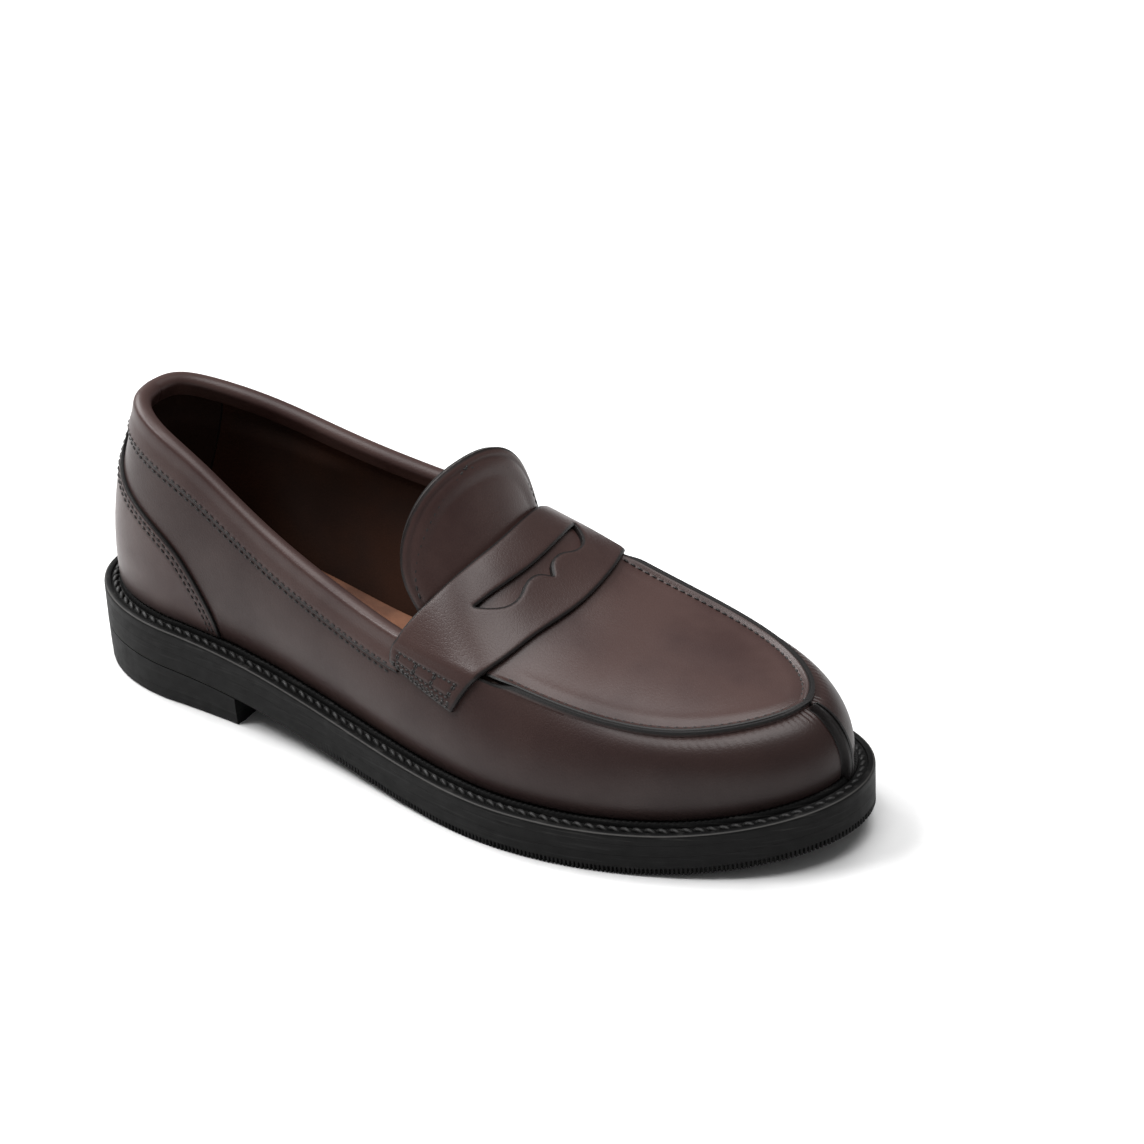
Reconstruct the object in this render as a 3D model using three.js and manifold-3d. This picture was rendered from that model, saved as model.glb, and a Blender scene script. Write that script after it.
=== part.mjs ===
// Penny loafer, right shoe, Goodyear welted.
//
// Units are millimetres. +X points to the toe, +Y to the inner (medial) side of the foot, +Z up.
// The shoe is designed with x = 0 at the back of the sole and z = 0 on the ground, and the whole
// group is moved at the end so that the origin is the bottom centre of its bounding box.
//
// Every leather layer of the upper is laid at its own depth from one skin, the outside of the
// upper. The skin is a row of ribs: rib s runs from the feather line (the bottom of the upper) to
// the top line, and s goes from 0 at the middle of the heel to 1 at the middle of the toe.
import * as THREE from 'three';
import { mergeVertices } from 'three/addons/utils/BufferGeometryUtils.js';
import Module from 'manifold-3d';

const wasm = await Module();
wasm.setup();

// ---------------------------------------------------------------- driving dimensions
const soleLength = 268;
const soleWidth = 91.5;         // at the ball
const upperHeight = 93;         // ground to the top of the back
const gap = 0.3;                // room between two touching pieces
const curvedGap = 0.45;         // the same between two curved layers, at their ribs
const soleThickness = 13.3;     // welt top to outsole bottom
const weltThickness = 3;
const midsoleThickness = 3.4;
const weltShow = 6.6;           // welt outside the upper
const ribWidth = 2;
const insoleThickness = 2.6;
const sockThickness = 1.2;
const heelLength = 66;          // back of the heel to its breast
const heelInset = 1.2;
const topPieceThickness = 4;
const nailRadius = 1.1;
const nailCount = 6;
const shankWidth = 14;
const shankThickness = 1.4;
const upperLeather = 1.5;
const strapLeather = 1.9;
const bindingLeather = 0.9;
const liningLeather = 0.8;
const stiffener = 1.0;          // counter stiffener and toe puff
const lastingMargin = 7;        // upper turned in under the insole
const marginRoom = 0.4;         // between the turned-in margin and the welt's inner edge
const weltWidth = weltShow + lastingMargin + marginRoom;
const lipHeight = 1.8;          // raised edge of the wall at the apron seam
const bindingWidth = 10.5;
const tongueLength = 26;        // tongue beyond the saddle strap
const threadWidth = 0.8;

// ---------------------------------------------------------------- curves
// Natural cubic spline through [t, value] pairs.
function spline(pairs) {
  const t = pairs.map((pair) => pair[0]);
  const y = pairs.map((pair) => pair[1]);
  const last = t.length - 1;
  const bend = new Array(last + 1).fill(0);
  const sweep = new Array(last + 1).fill(0);
  for (let i = 1; i < last; i++) {
    const before = t[i] - t[i - 1];
    const after = t[i + 1] - t[i];
    const slope = (y[i + 1] - y[i]) / after - (y[i] - y[i - 1]) / before;
    const pivot = 2 * (before + after) - before * sweep[i - 1];
    sweep[i] = after / pivot;
    bend[i] = (6 * slope - before * bend[i - 1]) / pivot;
  }
  for (let i = last - 1; i > 0; i--) bend[i] -= sweep[i] * bend[i + 1];
  return (at) => {
    let i = 0;
    while (i < last - 1 && at > t[i + 1]) i++;
    const span = t[i + 1] - t[i];
    const a = (t[i + 1] - at) / span;
    const b = (at - t[i]) / span;
    const cubic = (a ** 3 - a) * bend[i] + (b ** 3 - b) * bend[i + 1];
    return a * y[i] + b * y[i + 1] + cubic * span * span / 6;
  };
}

function smooth(from, to, at) {
  const x = Math.min(1, Math.max(0, (at - from) / (to - from)));
  return x * x * (3 - 2 * x);
}

const mix = (a, b, x) => a + (b - a) * x;
const add = (p, q, k = 1) => [p[0] + q[0] * k, p[1] + q[1] * k, p[2] + q[2] * k];
const minus = (p, q) => add(p, q, -1);
const cross = (p, q) => [p[1] * q[2] - p[2] * q[1], p[2] * q[0] - p[0] * q[2], p[0] * q[1] - p[1] * q[0]];
const unit = (p) => {
  const size = Math.hypot(p[0], p[1], p[2]) || 1;
  return [p[0] / size, p[1] / size, p[2] / size];
};
const steps = (from, to, count) => Array.from({ length: count + 1 }, (_, i) => mix(from, to, i / count));

const LATERAL = -1;
const MEDIAL = 1;

// Sole outline. u runs from 0 at the back to 1 at the toe. The ends are quarter ellipses.
const lengthScale = soleLength / 268;
const sideScale = soleWidth / 91.5;
const heightScale = upperHeight / 93;
const heelCap = 0.15;
const toeCap = 0.70;
const halfWidth = spline([[0, 30.2], [0.15, 30.2], [0.30, 30.4], [0.42, 32.2], [0.54, 38.0],
  [0.64, 43.2], [0.74, 45.0], [0.87, 45.0], [1, 45.0]]);
const midLine = spline([[0, 0.6], [0.15, 0.2], [0.30, -3.6], [0.42, -8.2], [0.54, -10.4],
  [0.64, -9.2], [0.74, -5.8], [0.87, -2.2], [1, -0.9]]);
// Height of the welt's top face: heel pitch, waist, flat tread and toe spring.
const weltTop = spline([[0, 27.2], [0.25, 23.0], [0.42, 16.6], [0.55, 13.7], [0.70, 13.2],
  [0.85, 14.6], [1, 21.4]]);

// Outline at angle t: 0 at the back, pi at the toe, the lateral side first.
function outlineAt(t) {
  const u = (1 - Math.cos(t)) / 2;
  const heel = u < heelCap ? 1 - u / heelCap : 0;
  const toe = u > toeCap ? (u - toeCap) / (1 - toeCap) : 0;
  const cap = Math.sqrt(Math.max(0, 1 - heel * heel)) * Math.sqrt(Math.max(0, 1 - toe * toe));
  const side = Math.sin(t) >= 0 ? LATERAL : MEDIAL;
  return [u * soleLength, (midLine(u) + side * halfWidth(u) * cap) * sideScale];
}

// Outline moved inwards in plan.
function insetOutline(t, inset) {
  const step = 1e-3;
  const [x, y] = outlineAt(t);
  const after = outlineAt(t + step);
  const before = outlineAt(t - step);
  const dx = after[0] - before[0];
  const dy = after[1] - before[1];
  const size = Math.hypot(dx, dy);
  return { x: x - dy / size * inset, y: y + dx / size * inset, outX: dy / size, outY: -dx / size };
}

const soleTop = (x) => weltTop(Math.min(1, Math.max(0, x / soleLength)));

// ---------------------------------------------------------------- skins and solids
// A skin is a surface of points and triangles, with the (s, v) of each point kept.
function sheet(ribs, rows, at, keep = () => true) {
  const points = [];
  const places = [];
  const faces = [];
  for (const s of ribs) {
    for (const v of rows) {
      points.push(at(s, v));
      places.push([s, v]);
    }
  }
  const wide = rows.length;
  for (let i = 0; i + 1 < ribs.length; i++) {
    for (let j = 0; j + 1 < wide; j++) {
      if (!keep(i, j)) continue;
      const a = i * wide + j;
      faces.push([a, a + wide, a + wide + 1], [a, a + wide + 1, a + 1]);
    }
  }
  return { points, places, faces };
}

// Joins skins into one, with points that coincide merged and collapsed triangles dropped.
function weld(...skins) {
  const found = new Map();
  const points = [];
  const places = [];
  const faces = [];
  for (const skin of skins) {
    const index = skin.points.map((point, i) => {
      const key = point.map((value) => Math.round(value * 500)).join();
      if (!found.has(key)) {
        found.set(key, points.length);
        points.push(point);
        places.push(skin.places[i]);
      }
      return found.get(key);
    });
    for (const face of skin.faces) {
      const [a, b, c] = face.map((i) => index[i]);
      if (a !== b && b !== c && c !== a) faces.push([a, b, c]);
    }
  }
  return { points, places, faces };
}

const flip = (skin) => ({ ...skin, faces: skin.faces.map(([a, b, c]) => [a, c, b]) });

function normals(skin) {
  const sum = skin.points.map(() => [0, 0, 0]);
  for (const [a, b, c] of skin.faces) {
    const p = skin.points;
    const area = cross(minus(p[b], p[a]), minus(p[c], p[a]));
    for (const i of [a, b, c]) sum[i] = add(sum[i], area);
  }
  return sum.map(unit);
}

// Skin moved along its normals; depth is a number or a function of (s, v).
function moved(skin, depth) {
  const out = normals(skin);
  const points = skin.points.map((point, i) => {
    const amount = typeof depth === 'function' ? depth(...skin.places[i]) : depth;
    return add(point, out[i], amount);
  });
  return { ...skin, points };
}

// Closed solid between two skins with the same faces, with a rim along every open edge.
function between(outer, inner) {
  const shift = outer.points.length;
  const faces = [...outer.faces, ...flip(inner).faces.map((face) => face.map((i) => i + shift))];
  const edges = new Set(outer.faces.flatMap(([a, b, c]) => [`${a}_${b}`, `${b}_${c}`, `${c}_${a}`]));
  for (const edge of edges) {
    const [a, b] = edge.split('_').map(Number);
    if (edges.has(`${b}_${a}`)) continue;
    faces.push([a, b + shift, b], [a, a + shift, b + shift]);
  }
  return geometry([...outer.points, ...inner.points], faces);
}

const layer = (skin, top, bottom) => between(moved(skin, top), moved(skin, bottom));

// Solid geometry with its faces pointing out.
function geometry(points, faces) {
  let volume = 0;
  for (const [a, b, c] of faces) {
    const n = cross(points[b], points[c]);
    volume += points[a][0] * n[0] + points[a][1] * n[1] + points[a][2] * n[2];
  }
  const order = volume < 0 ? faces.map(([a, b, c]) => [a, c, b]) : faces;
  const shape = new THREE.BufferGeometry();
  shape.setAttribute('position', new THREE.Float32BufferAttribute(points.flat(), 3));
  shape.setIndex(order.flat());
  return shape;
}

function toManifold(shape) {
  const bare = shape.clone();
  bare.deleteAttribute('normal');
  bare.deleteAttribute('uv');
  const merged = mergeVertices(bare, 1e-4);
  const vertProperties = new Float32Array(merged.attributes.position.array);
  const triVerts = new Uint32Array(merged.index.array);
  return new wasm.Manifold(new wasm.Mesh({ numProp: 3, vertProperties, triVerts }));
}

function fromManifold(body) {
  const mesh = body.getMesh();
  const shape = new THREE.BufferGeometry();
  shape.setAttribute('position', new THREE.BufferAttribute(new Float32Array(mesh.vertProperties), 3));
  shape.setIndex(Array.from(mesh.triVerts));
  return shape;
}

function cut(shape, ...tools) {
  let body = toManifold(shape);
  for (const tool of tools) body = body.subtract(toManifold(tool));
  return fromManifold(body);
}

// ---------------------------------------------------------------- bottom pieces
const plateStations = 44;

// Plate across the sole from one outline angle to another, between two height functions of x.
function plate(inset, from, to, top, bottom, stations = plateStations) {
  const ribs = steps(from, to, stations);
  const width = [0, 1];
  const skin = (height) => weld(sheet(ribs, width, (t, v) => {
    const left = insetOutline(t, inset);
    const right = insetOutline(2 * Math.PI - t, inset);
    const x = mix(left.x, right.x, v);
    return [x, mix(left.y, right.y, v), height(x)];
  }));
  const upper = skin(top);
  const lower = skin(bottom);
  return between(upper, lower);
}

// Ring along the whole outline, between two insets and two height functions of x.
function ring(outerInset, innerInset, top, bottom, stations = 56) {
  const points = [];
  const faces = [];
  const corners = [[outerInset, bottom], [outerInset, top], [innerInset, top], [innerInset, bottom]];
  for (let i = 0; i < stations; i++) {
    const t = 2 * Math.PI * i / stations;
    for (const [inset, height] of corners) {
      const place = insetOutline(t, inset);
      points.push([place.x, place.y, height(place.x)]);
    }
    const next = (i + 1) % stations;
    for (let j = 0; j < 4; j++) {
      const k = (j + 1) % 4;
      faces.push([i * 4 + j, next * 4 + j, next * 4 + k], [i * 4 + j, next * 4 + k, i * 4 + k]);
    }
  }
  return geometry(points, faces);
}

const tightEnd = 0.02;
const weltBottom = (x) => soleTop(x) - weltThickness;
const midsoleTop = (x) => weltBottom(x) - gap;
const midsoleBottom = (x) => midsoleTop(x) - midsoleThickness;
const outsoleTop = (x) => midsoleBottom(x) - gap;
const outsoleBottom = (x) => Math.max(0, soleTop(x) - soleThickness);
const marginBottom = (x) => soleTop(x) + gap;
const insoleBottom = (x) => marginBottom(x) + upperLeather + 2 * gap + liningLeather + gap;
const insoleTop = (x) => insoleBottom(x) + insoleThickness;
const sockBottom = (x) => insoleTop(x) + gap;
const sockTop = (x) => sockBottom(x) + sockThickness;
const ribInset = weltWidth + gap;
const corkInset = ribInset + ribWidth + gap;
const insoleInset = weltShow + upperLeather + liningLeather + stiffener + 4 * gap;

const angleAt = (x) => Math.acos(1 - 2 * x / soleLength);

const outsole = plate(0, tightEnd, Math.PI - tightEnd, outsoleTop, outsoleBottom);
const midsole = plate(0, tightEnd, Math.PI - tightEnd, midsoleTop, midsoleBottom);
const welt = ring(0, weltWidth, soleTop, weltBottom);
const insoleRib = ring(ribInset, ribInset + ribWidth, (x) => insoleBottom(x) - gap, weltBottom);
const insole = plate(insoleInset, tightEnd, Math.PI - tightEnd, insoleTop, insoleBottom, 36);
const sockLiner = plate(insoleInset + gap, tightEnd, Math.PI - tightEnd, sockTop, sockBottom, 36);

const heelBlockTop = (x) => outsoleBottom(x) - gap;
const heelBlockBottom = () => topPieceThickness + gap;
const heelEnd = angleAt(heelLength);
const heelBlock = plate(heelInset, tightEnd, heelEnd, heelBlockTop, heelBlockBottom, 16);
const topPiece = plate(heelInset, tightEnd, heelEnd, () => topPieceThickness, () => 0, 16);

// Steel shank from the heel seat to just behind the ball, let into the cork filler.
const shankStart = 36 * lengthScale;
const shankEnd = 142 * lengthScale;
const corkTop = (x) => insoleBottom(x) - gap;
const corkBottom = weltBottom;
const shankTop = (x) => corkTop(x) - 1.0;
const shankMiddle = (x) => midLine(x / soleLength) * sideScale;
function strip(start, end, width, top, bottom, stations) {
  const points = steps(start, end, stations);
  const skin = (height) => sheet(points, [-1, 1], (x, v) => [x, shankMiddle(x) - v * width / 2, height(x)]);
  return between(skin(top), skin(bottom));
}
const shank = strip(shankStart, shankEnd, shankWidth, shankTop, (x) => shankTop(x) - shankThickness, 16);
const shankRoom = strip(shankStart - gap, shankEnd + gap, shankWidth + 2 * gap,
  (x) => corkTop(x) + 1, (x) => shankTop(x) - shankThickness - gap, 16);
const corkFiller = cut(plate(corkInset, tightEnd, Math.PI - tightEnd, corkTop, corkBottom, 32), shankRoom);

// Heel nails: driven up through top piece and heel block into the outsole.
const nailBottom = 1.5;
const nailInset = 13;
const nailSpread = 0.82;        // share of the heel's outline that the nails follow
const nailPlaces = steps(-nailSpread, nailSpread, nailCount - 1)
  .map((share) => insetOutline(share * heelEnd, nailInset));
function pin(place, radius, bottom, top) {
  const shape = new THREE.CylinderGeometry(radius, radius, top - bottom, 8);
  shape.rotateX(Math.PI / 2);
  shape.translate(place.x, place.y, (top + bottom) / 2);
  return shape;
}
const nailTop = (place) => outsoleBottom(place.x) + 4;
const nail = (place) => pin(place, nailRadius, nailBottom, nailTop(place));
const nailHoles = nailPlaces.map((place) => pin(place, nailRadius + gap, -1, nailTop(place) + gap));
const drilledOutsole = cut(outsole, ...nailHoles);
const drilledHeelBlock = cut(heelBlock, ...nailHoles);
const drilledTopPiece = cut(topPiece, ...nailHoles);

// ---------------------------------------------------------------- skin of the upper
// Top edge of the ribs: the top line behind the strap, and the apron seam in front of it.
function edge(list) {
  const x = spline(list.map(([s, value]) => [s, value]));
  const y = spline(list.map(([s, , value]) => [s, value]));
  const z = spline(list.map(([s, , , value]) => [s, value]));
  return (s) => [x(s) * lengthScale, y(s) * sideScale, z(s) * heightScale];
}
const topEdge = {
  [LATERAL]: edge([[0, 21, 0, 93], [0.08, 24, -10.5, 93], [0.16, 34.5, -18, 90], [0.26, 54, -21.5, 81.2],
    [0.35, 78, -24.5, 67.2], [0.43, 105, -29, 56.8], [0.50, 130, -33.5, 50.5], [0.57, 152, -37, 48.5],
    [0.62, 168, -38, 46.5], [0.70, 193, -36.5, 42], [0.79, 218, -30.5, 39.5],
    [0.87, 236, -20.5, 40.5], [0.94, 247, -9.5, 42], [1, 250.5, -1, 42.8]]),
  [MEDIAL]: edge([[0, 21, 0, 93], [0.08, 24, 10.5, 92], [0.16, 34.5, 18.5, 87.8], [0.26, 55, 24.5, 81.2],
    [0.35, 80, 27.5, 73.8], [0.43, 107, 30, 68], [0.50, 131, 33, 63], [0.57, 153, 34.5, 57.5],
    [0.62, 169.5, 34, 53], [0.70, 194, 32.5, 47.5], [0.79, 218, 28.5, 43.5],
    [0.87, 236, 19.5, 42.5], [0.94, 247, 8, 42.8], [1, 250.5, -1, 42.8]]),
};
// Shape of the wall between feather line and top edge: how far it swells and how steeply it starts.
const swellLow = spline([[0, 0.3], [0.2, 2.5], [0.45, 5], [0.6, 4], [0.8, 3], [1, 2]]);
const swellHigh = spline([[0, 8.8], [0.2, 6], [0.45, 4], [0.6, 4], [0.8, 7], [1, 7]]);
const riseLow = spline([[0, 0.33], [0.5, 0.35], [0.8, 0.45], [1, 0.5]]);
const fallHigh = spline([[0, 0.3], [0.5, 0.3], [0.65, 0.2], [0.8, 0.06], [1, 0.05]]);

const cornerRadius = 1.8;
function wallAt(side, s, v) {
  const t = Math.PI * s;
  const place = insetOutline(side === LATERAL ? t : 2 * Math.PI - t, weltShow);
  const foot = [place.x, place.y, marginBottom(place.x)];
  const out = [place.outX, place.outY, 0];
  if (v < 0) {
    const turn = Math.min(1, -v);
    const run = cornerRadius + (lastingMargin - cornerRadius) * Math.max(0, turn * 2 - 1);
    const lift = cornerRadius * (1 - Math.sin(Math.min(1, turn * 2) * Math.PI / 2));
    const inward = turn < 0.5 ? cornerRadius * (1 - Math.cos(turn * Math.PI)) : run;
    const spot = add(foot, out, -inward);
    return [spot[0], spot[1], marginBottom(spot[0]) + lift];
  }
  const top = topEdge[side](s);
  const base = add(foot, [0, 0, cornerRadius]);
  const height = top[2] - base[2];
  const low = add(add(base, out, swellLow(s)), [0, 0, height * riseLow(s)]);
  const high = add(add(top, out, swellHigh(s)), [0, 0, -height * fallHigh(s)]);
  const w = Math.min(v, 1);
  const curve = [0, 1, 2].map((i) => (1 - w) ** 3 * base[i] + 3 * (1 - w) ** 2 * w * low[i]
    + 3 * (1 - w) * w * w * high[i] + w ** 3 * top[i]);
  const lip = v > 1 ? (v - 1) * lipHeight * smooth(strapFrontRib - 0.01, strapFrontRib + 0.02, s) : 0;
  return add(curve, [0, 0, 1], lip);
}

// Top of the forepart between the two top edges; w is -1 at the lateral edge and 1 at the medial.
const crown = spline([[0.5, 17], [0.545, 15.5], [0.62, 5.5], [0.70, 4], [0.85, 3], [0.95, 1], [1, 0]]);
const crownPower = 2.6;
function apronAt(s, w) {
  const left = topEdge[LATERAL](s);
  const right = topEdge[MEDIAL](s);
  const k = (w + 1) / 2;
  const arch = crown(s) * (1 - Math.abs(w) ** crownPower) * heightScale;
  return [mix(left[0], right[0], k), mix(left[1], right[1], k), mix(left[2], right[2], k) + arch];
}

const strapFrontRib = 0.62;
const strapRearRib = 0.545;
const ribCount = 34;
const ribStep = 1 / ribCount;
const endRib = 0.004;
const isWithin = (s, from, to) => s > from + ribStep / 4 && s < to - ribStep / 4;
const ribsFrom = (from, to) => [from, ...steps(0, 1, ribCount).filter((s) => isWithin(s, from, to)), to];
const marginRows = [-1, -0.45, -0.2];
const wallRows = [0, 0.15, 0.32, 0.5, 0.7, 0.86, 1];
const apronRows = [-1, -0.85, -0.6, -0.3, 0, 0.3, 0.6, 0.85, 1];

const wallSkin = (side, ribs, rows) => {
  const skin = sheet(ribs, rows, (s, v) => wallAt(side, s, v));
  return side === LATERAL ? skin : flip(skin);
};

const sideWallRows = [...marginRows, ...wallRows, 2];
const sideWallRibs = ribsFrom(endRib, 1 - endRib);
const sideWall = (side) => layer(weld(wallSkin(side, sideWallRibs, sideWallRows)), 0, -upperLeather);

// Apron: its edge stops inside the raised lip of the walls.
const apronTipRib = 0.93;
const apronEdge = upperLeather + 3.4 * gap;
const halfSpan = (s) => (topEdge[MEDIAL](s)[1] - topEdge[LATERAL](s)[1]) / 2;
const apronRibs = ribsFrom(strapRearRib + 0.006, apronTipRib);
const apronSkin = weld(sheet(apronRibs, apronRows, (s, w) => apronAt(s, w * (1 - apronEdge / halfSpan(s)))));
const apron = layer(apronSkin, 0, -upperLeather);

// Whole outside skin of the forepart, wall to wall, for the lining and the strap.
function hoodSkin(ribs, rows) {
  const lateral = wallSkin(LATERAL, ribs, rows);
  const medial = wallSkin(MEDIAL, ribs, rows);
  const top = sheet(ribs, apronRows, (s, w) => apronAt(s, w));
  return weld(lateral, top, medial);
}

// ---------------------------------------------------------------- linings and stiffeners
const depthInside = upperLeather + curvedGap;
const counterEndRib = 0.30;
const toePuffRib = 0.80;
const bothWalls = (ribs, rows) => weld(wallSkin(LATERAL, ribs, rows), wallSkin(MEDIAL, ribs, rows));
const aroundHeel = (to, rows) => bothWalls(ribsFrom(0, to), rows);
const aroundToe = (from, rows) => bothWalls(ribsFrom(from, 1), rows);
const counterRows = wallRows.filter((v) => v <= 0.7);
const stiffenerBack = -depthInside - stiffener;
const counterStiffener = layer(aroundHeel(counterEndRib, counterRows), -depthInside, stiffenerBack);
const toePuff = layer(aroundToe(toePuffRib, wallRows.filter((v) => v < 1)), -depthInside, stiffenerBack);

// The lining lies on the wall, and steps in over a stiffener.
const overStiffener = stiffener + curvedGap;
function liningDepth(s, v) {
  const counter = smooth(counterEndRib + 0.06, counterEndRib, s) * smooth(0.86, 0.74, v);
  const puff = smooth(toePuffRib - 0.05, toePuffRib, s);
  return -depthInside - overStiffener * Math.max(counter, puff);
}
const liningBack = (s, v) => liningDepth(s, v) - liningLeather;
const gripRib = 0.16;
const vampLiningRib = 0.553;
const seamRoom = 0.005;
const vampLiningFrom = vampLiningRib + seamRoom;
const heelGrip = layer(aroundHeel(gripRib, wallRows), liningDepth, liningBack);
const quarterRibs = ribsFrom(gripRib + seamRoom, vampLiningRib);
const quarterLining = (side) => layer(weld(wallSkin(side, quarterRibs, wallRows)), liningDepth, liningBack);
const vampLiningDepth = (s, v) => liningDepth(s, 1);
const vampLining = layer(hoodSkin(ribsFrom(vampLiningFrom, 1), wallRows), vampLiningDepth,
  (s, v) => vampLiningDepth(s, v) - liningLeather);

// ---------------------------------------------------------------- outer heel counter and collar
// The counter is wide at the welt and narrows to a strip up the back seam.
const counterReach = spline([[0, 0.306], [0.15, 0.301], [0.3, 0.286], [0.42, 0.264], [0.5, 0.236],
  [0.56, 0.19], [0.62, 0.12], [0.68, 0.072], [0.75, 0.05], [0.83, 0.042]]);
const onTop = curvedGap + 0.15;
const counterLeather = 1.2;
const heelHeight = topEdge[LATERAL](0)[2] - soleTop(0);
const counterTop = 1 - (bindingWidth + 1) / heelHeight;
const counterHeights = steps(0, counterTop, 14);
const counterSides = steps(-1, 1, 24);
const counterSkin = sheet(counterSides, counterHeights,
  (k, v) => wallAt(k < 0 ? LATERAL : MEDIAL, Math.abs(k) * counterReach(v), v));
const counterOnTop = onTop + 0.25;
const heelCounter = layer(flip(counterSkin), counterOnTop, counterOnTop + counterLeather);

// At the back and toe seams both sides share the normal, which lies in the plane of the seam.
function wallNormal(from, s, v) {
  const step = 2e-3;
  const side = s <= 0 || s >= 1 ? LATERAL : from;
  const s0 = Math.max(0, s - step);
  const s1 = Math.min(1, s + step);
  const along = minus(wallAt(side, s1, v), wallAt(side, s0, v));
  const up = minus(wallAt(side, s, Math.min(1, v + step)), wallAt(side, s, Math.min(1, v + step) - 2 * step));
  const out = cross(along, up).map((value) => (side === LATERAL ? value : -value));
  return unit(s <= 0 || s >= 1 ? [out[0], 0, out[2]] : out);
}

// Collar binding: up the outside, over the edge of wall and lining, and down the inside.
const bindingEndRib = 0.497;
const bindingInside = 4;
const stackInside = depthInside + liningLeather + 2 * onTop;
function bindingAt(side, s, row) {
  const height = topEdge[side](s)[2] - marginBottom(s * soleLength);
  const top = wallAt(side, s, 1);
  if (row <= 3) {
    const v = 1 - bindingWidth / height * (1 - row / 3);
    return add(wallAt(side, s, v), wallNormal(side, s, v), onTop);
  }
  const out = wallNormal(side, s, 1);
  if (row === 4) return add(add(top, out, -stackInside / 2), [0, 0, 1], onTop + 0.6);
  const v = row === 5 ? 1 : 1 - bindingInside / height;
  return add(wallAt(side, s, v), wallNormal(side, s, v), -stackInside);
}
const bindingRows = [0, 1, 2, 3, 4, 5, 6];
const bindingRibs = ribsFrom(0, bindingEndRib);
const collarBinding = layer(weld(
  sheet(bindingRibs, bindingRows, (s, row) => bindingAt(LATERAL, s, row)),
  flip(sheet(bindingRibs, bindingRows, (s, row) => bindingAt(MEDIAL, s, row)))), 0, bindingLeather);

// ---------------------------------------------------------------- saddle strap and tongue
// Rib of the strap's rear and front edges; w is -1 to 1 over the top and beyond that on the walls.
const strapRear = spline([[-1.3, 0.498], [-1, 0.503], [-0.8, 0.518], [0, 0.548], [0.85, 0.538], [1, 0.532],
  [1.3, 0.52]]);
const strapFront = spline([[-1.3, 0.566], [-1, 0.599], [-0.5, 0.62], [0, 0.63], [0.6, 0.628], [1, 0.615],
  [1.3, 0.595]]);
const strapEndRear = 0.78;      // wall height that the strap ends reach down to
const strapEndFront = 0.60;
function strapAt(b, q) {
  const s = mix(strapRear(q), strapFront(q), b);
  if (Math.abs(q) <= 1) return apronAt(s, q);
  const side = q < 0 ? LATERAL : MEDIAL;
  const share = (Math.abs(q) - 1) / 0.3;
  return wallAt(side, s, 1 - share * (1 - mix(strapEndRear, strapEndFront, b)));
}
// Lip-shaped slot: straight at the rear, wavy at the front, with a notch in the middle.
const slotMiddle = 0.12;
const slotReach = 0.72;
const slotRear = 0.40;
const slotSteps = [-slotReach, -0.6, -0.45, -0.31, -0.17, 0, 0.17, 0.31, 0.45, 0.6, slotReach];
const slotReaches = [0.43, 0.57, 0.59, 0.54, 0.49, 0.59, 0.49, 0.54, 0.59, 0.57, 0.43];
const slotFront = spline(slotSteps.map((q, i) => [q, slotReaches[i]]));
const slotColumns = slotSteps.map((q) => q + slotMiddle);
const strapColumns = [-1.3, -1.2, -1.1, -1, -0.8, ...slotColumns, 0.92, 1, 1.1, 1.2, 1.3];
const strapRows = [0, 0.13, 0.27, 'rear', 'front', 0.74, 0.87, 1];
const strapSkin = sheet(strapColumns, strapRows.map((row, i) => i), (q, i) => {
  const inside = Math.max(-slotReach, Math.min(slotReach, q - slotMiddle));
  const row = strapRows[i];
  const b = row === 'rear' ? slotRear : row === 'front' ? slotFront(inside) : row;
  return strapAt(b, q);
}, (i, j) => !(j === 3 && i >= 5 && i < 4 + slotColumns.length));
const strapOnTop = onTop + 0.2;
const saddleStrap = layer(flip(strapSkin), strapOnTop, strapOnTop + strapLeather);

// Tongue: carries on from the strap's rear edge, stands up and back, and ends round.
const tongueHalf = 0.83;
const tongueBack = 10.5;
const tongueSweep = 6;
const tonguePower = 3.2;
const tongueRise = Math.sqrt(tongueLength ** 2 - tongueBack ** 2);
function tongueAt(b, k) {
  const w = k * tongueHalf * Math.sqrt(Math.max(0, 1 - b ** tonguePower));
  const root = apronAt(strapRear(w), w);
  return [root[0] - (tongueBack - tongueSweep * w) * b, root[1], root[2] + tongueRise * b * (1 + 0.08 * b)];
}
const tongueRows = [0, 0.15, 0.3, 0.45, 0.6, 0.74, 0.86, 0.95, 1];
const tongueSkin = flip(weld(sheet(tongueRows, steps(-1, 1, 12), tongueAt)));
const tongue = layer(tongueSkin, 0, -upperLeather);
const tongueLining = layer(tongueSkin, -depthInside, -depthInside - liningLeather);

// ---------------------------------------------------------------- threads
const threadLift = gap + threadWidth / 2 + 0.2;
function thread(points, rounds) {
  const path = new THREE.CatmullRomCurve3(points.map((point) => new THREE.Vector3(...point)));
  const section = new THREE.Shape(steps(0, 4, 4).map((i) => {
    const turn = 2 * Math.PI * i / 5;
    return new THREE.Vector2(Math.cos(turn) * threadWidth / 2, Math.sin(turn) * threadWidth / 2);
  }));
  return new THREE.ExtrudeGeometry(section, { steps: rounds, bevelEnabled: false, extrudePath: path });
}
const threadInset = 3.4;
const weltThread = ring(threadInset - threadWidth / 2, threadInset + threadWidth / 2,
  (x) => soleTop(x) + gap + threadWidth, (x) => soleTop(x) + gap);
const bothSides = (ribs, at) => [
  ...[...ribs].reverse().map((s) => at(LATERAL, s)),
  ...ribs.slice(1).map((s) => at(MEDIAL, s))];
const collarThread = thread(bothSides(steps(0, 0.49, 24), (side, s) => {
  const v = 1 - (bindingWidth - 2) / (topEdge[side](s)[2] - marginBottom(s * soleLength));
  return add(wallAt(side, s, v), wallNormal(side, s, v), onTop + bindingLeather + threadLift);
}), 44);
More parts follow.
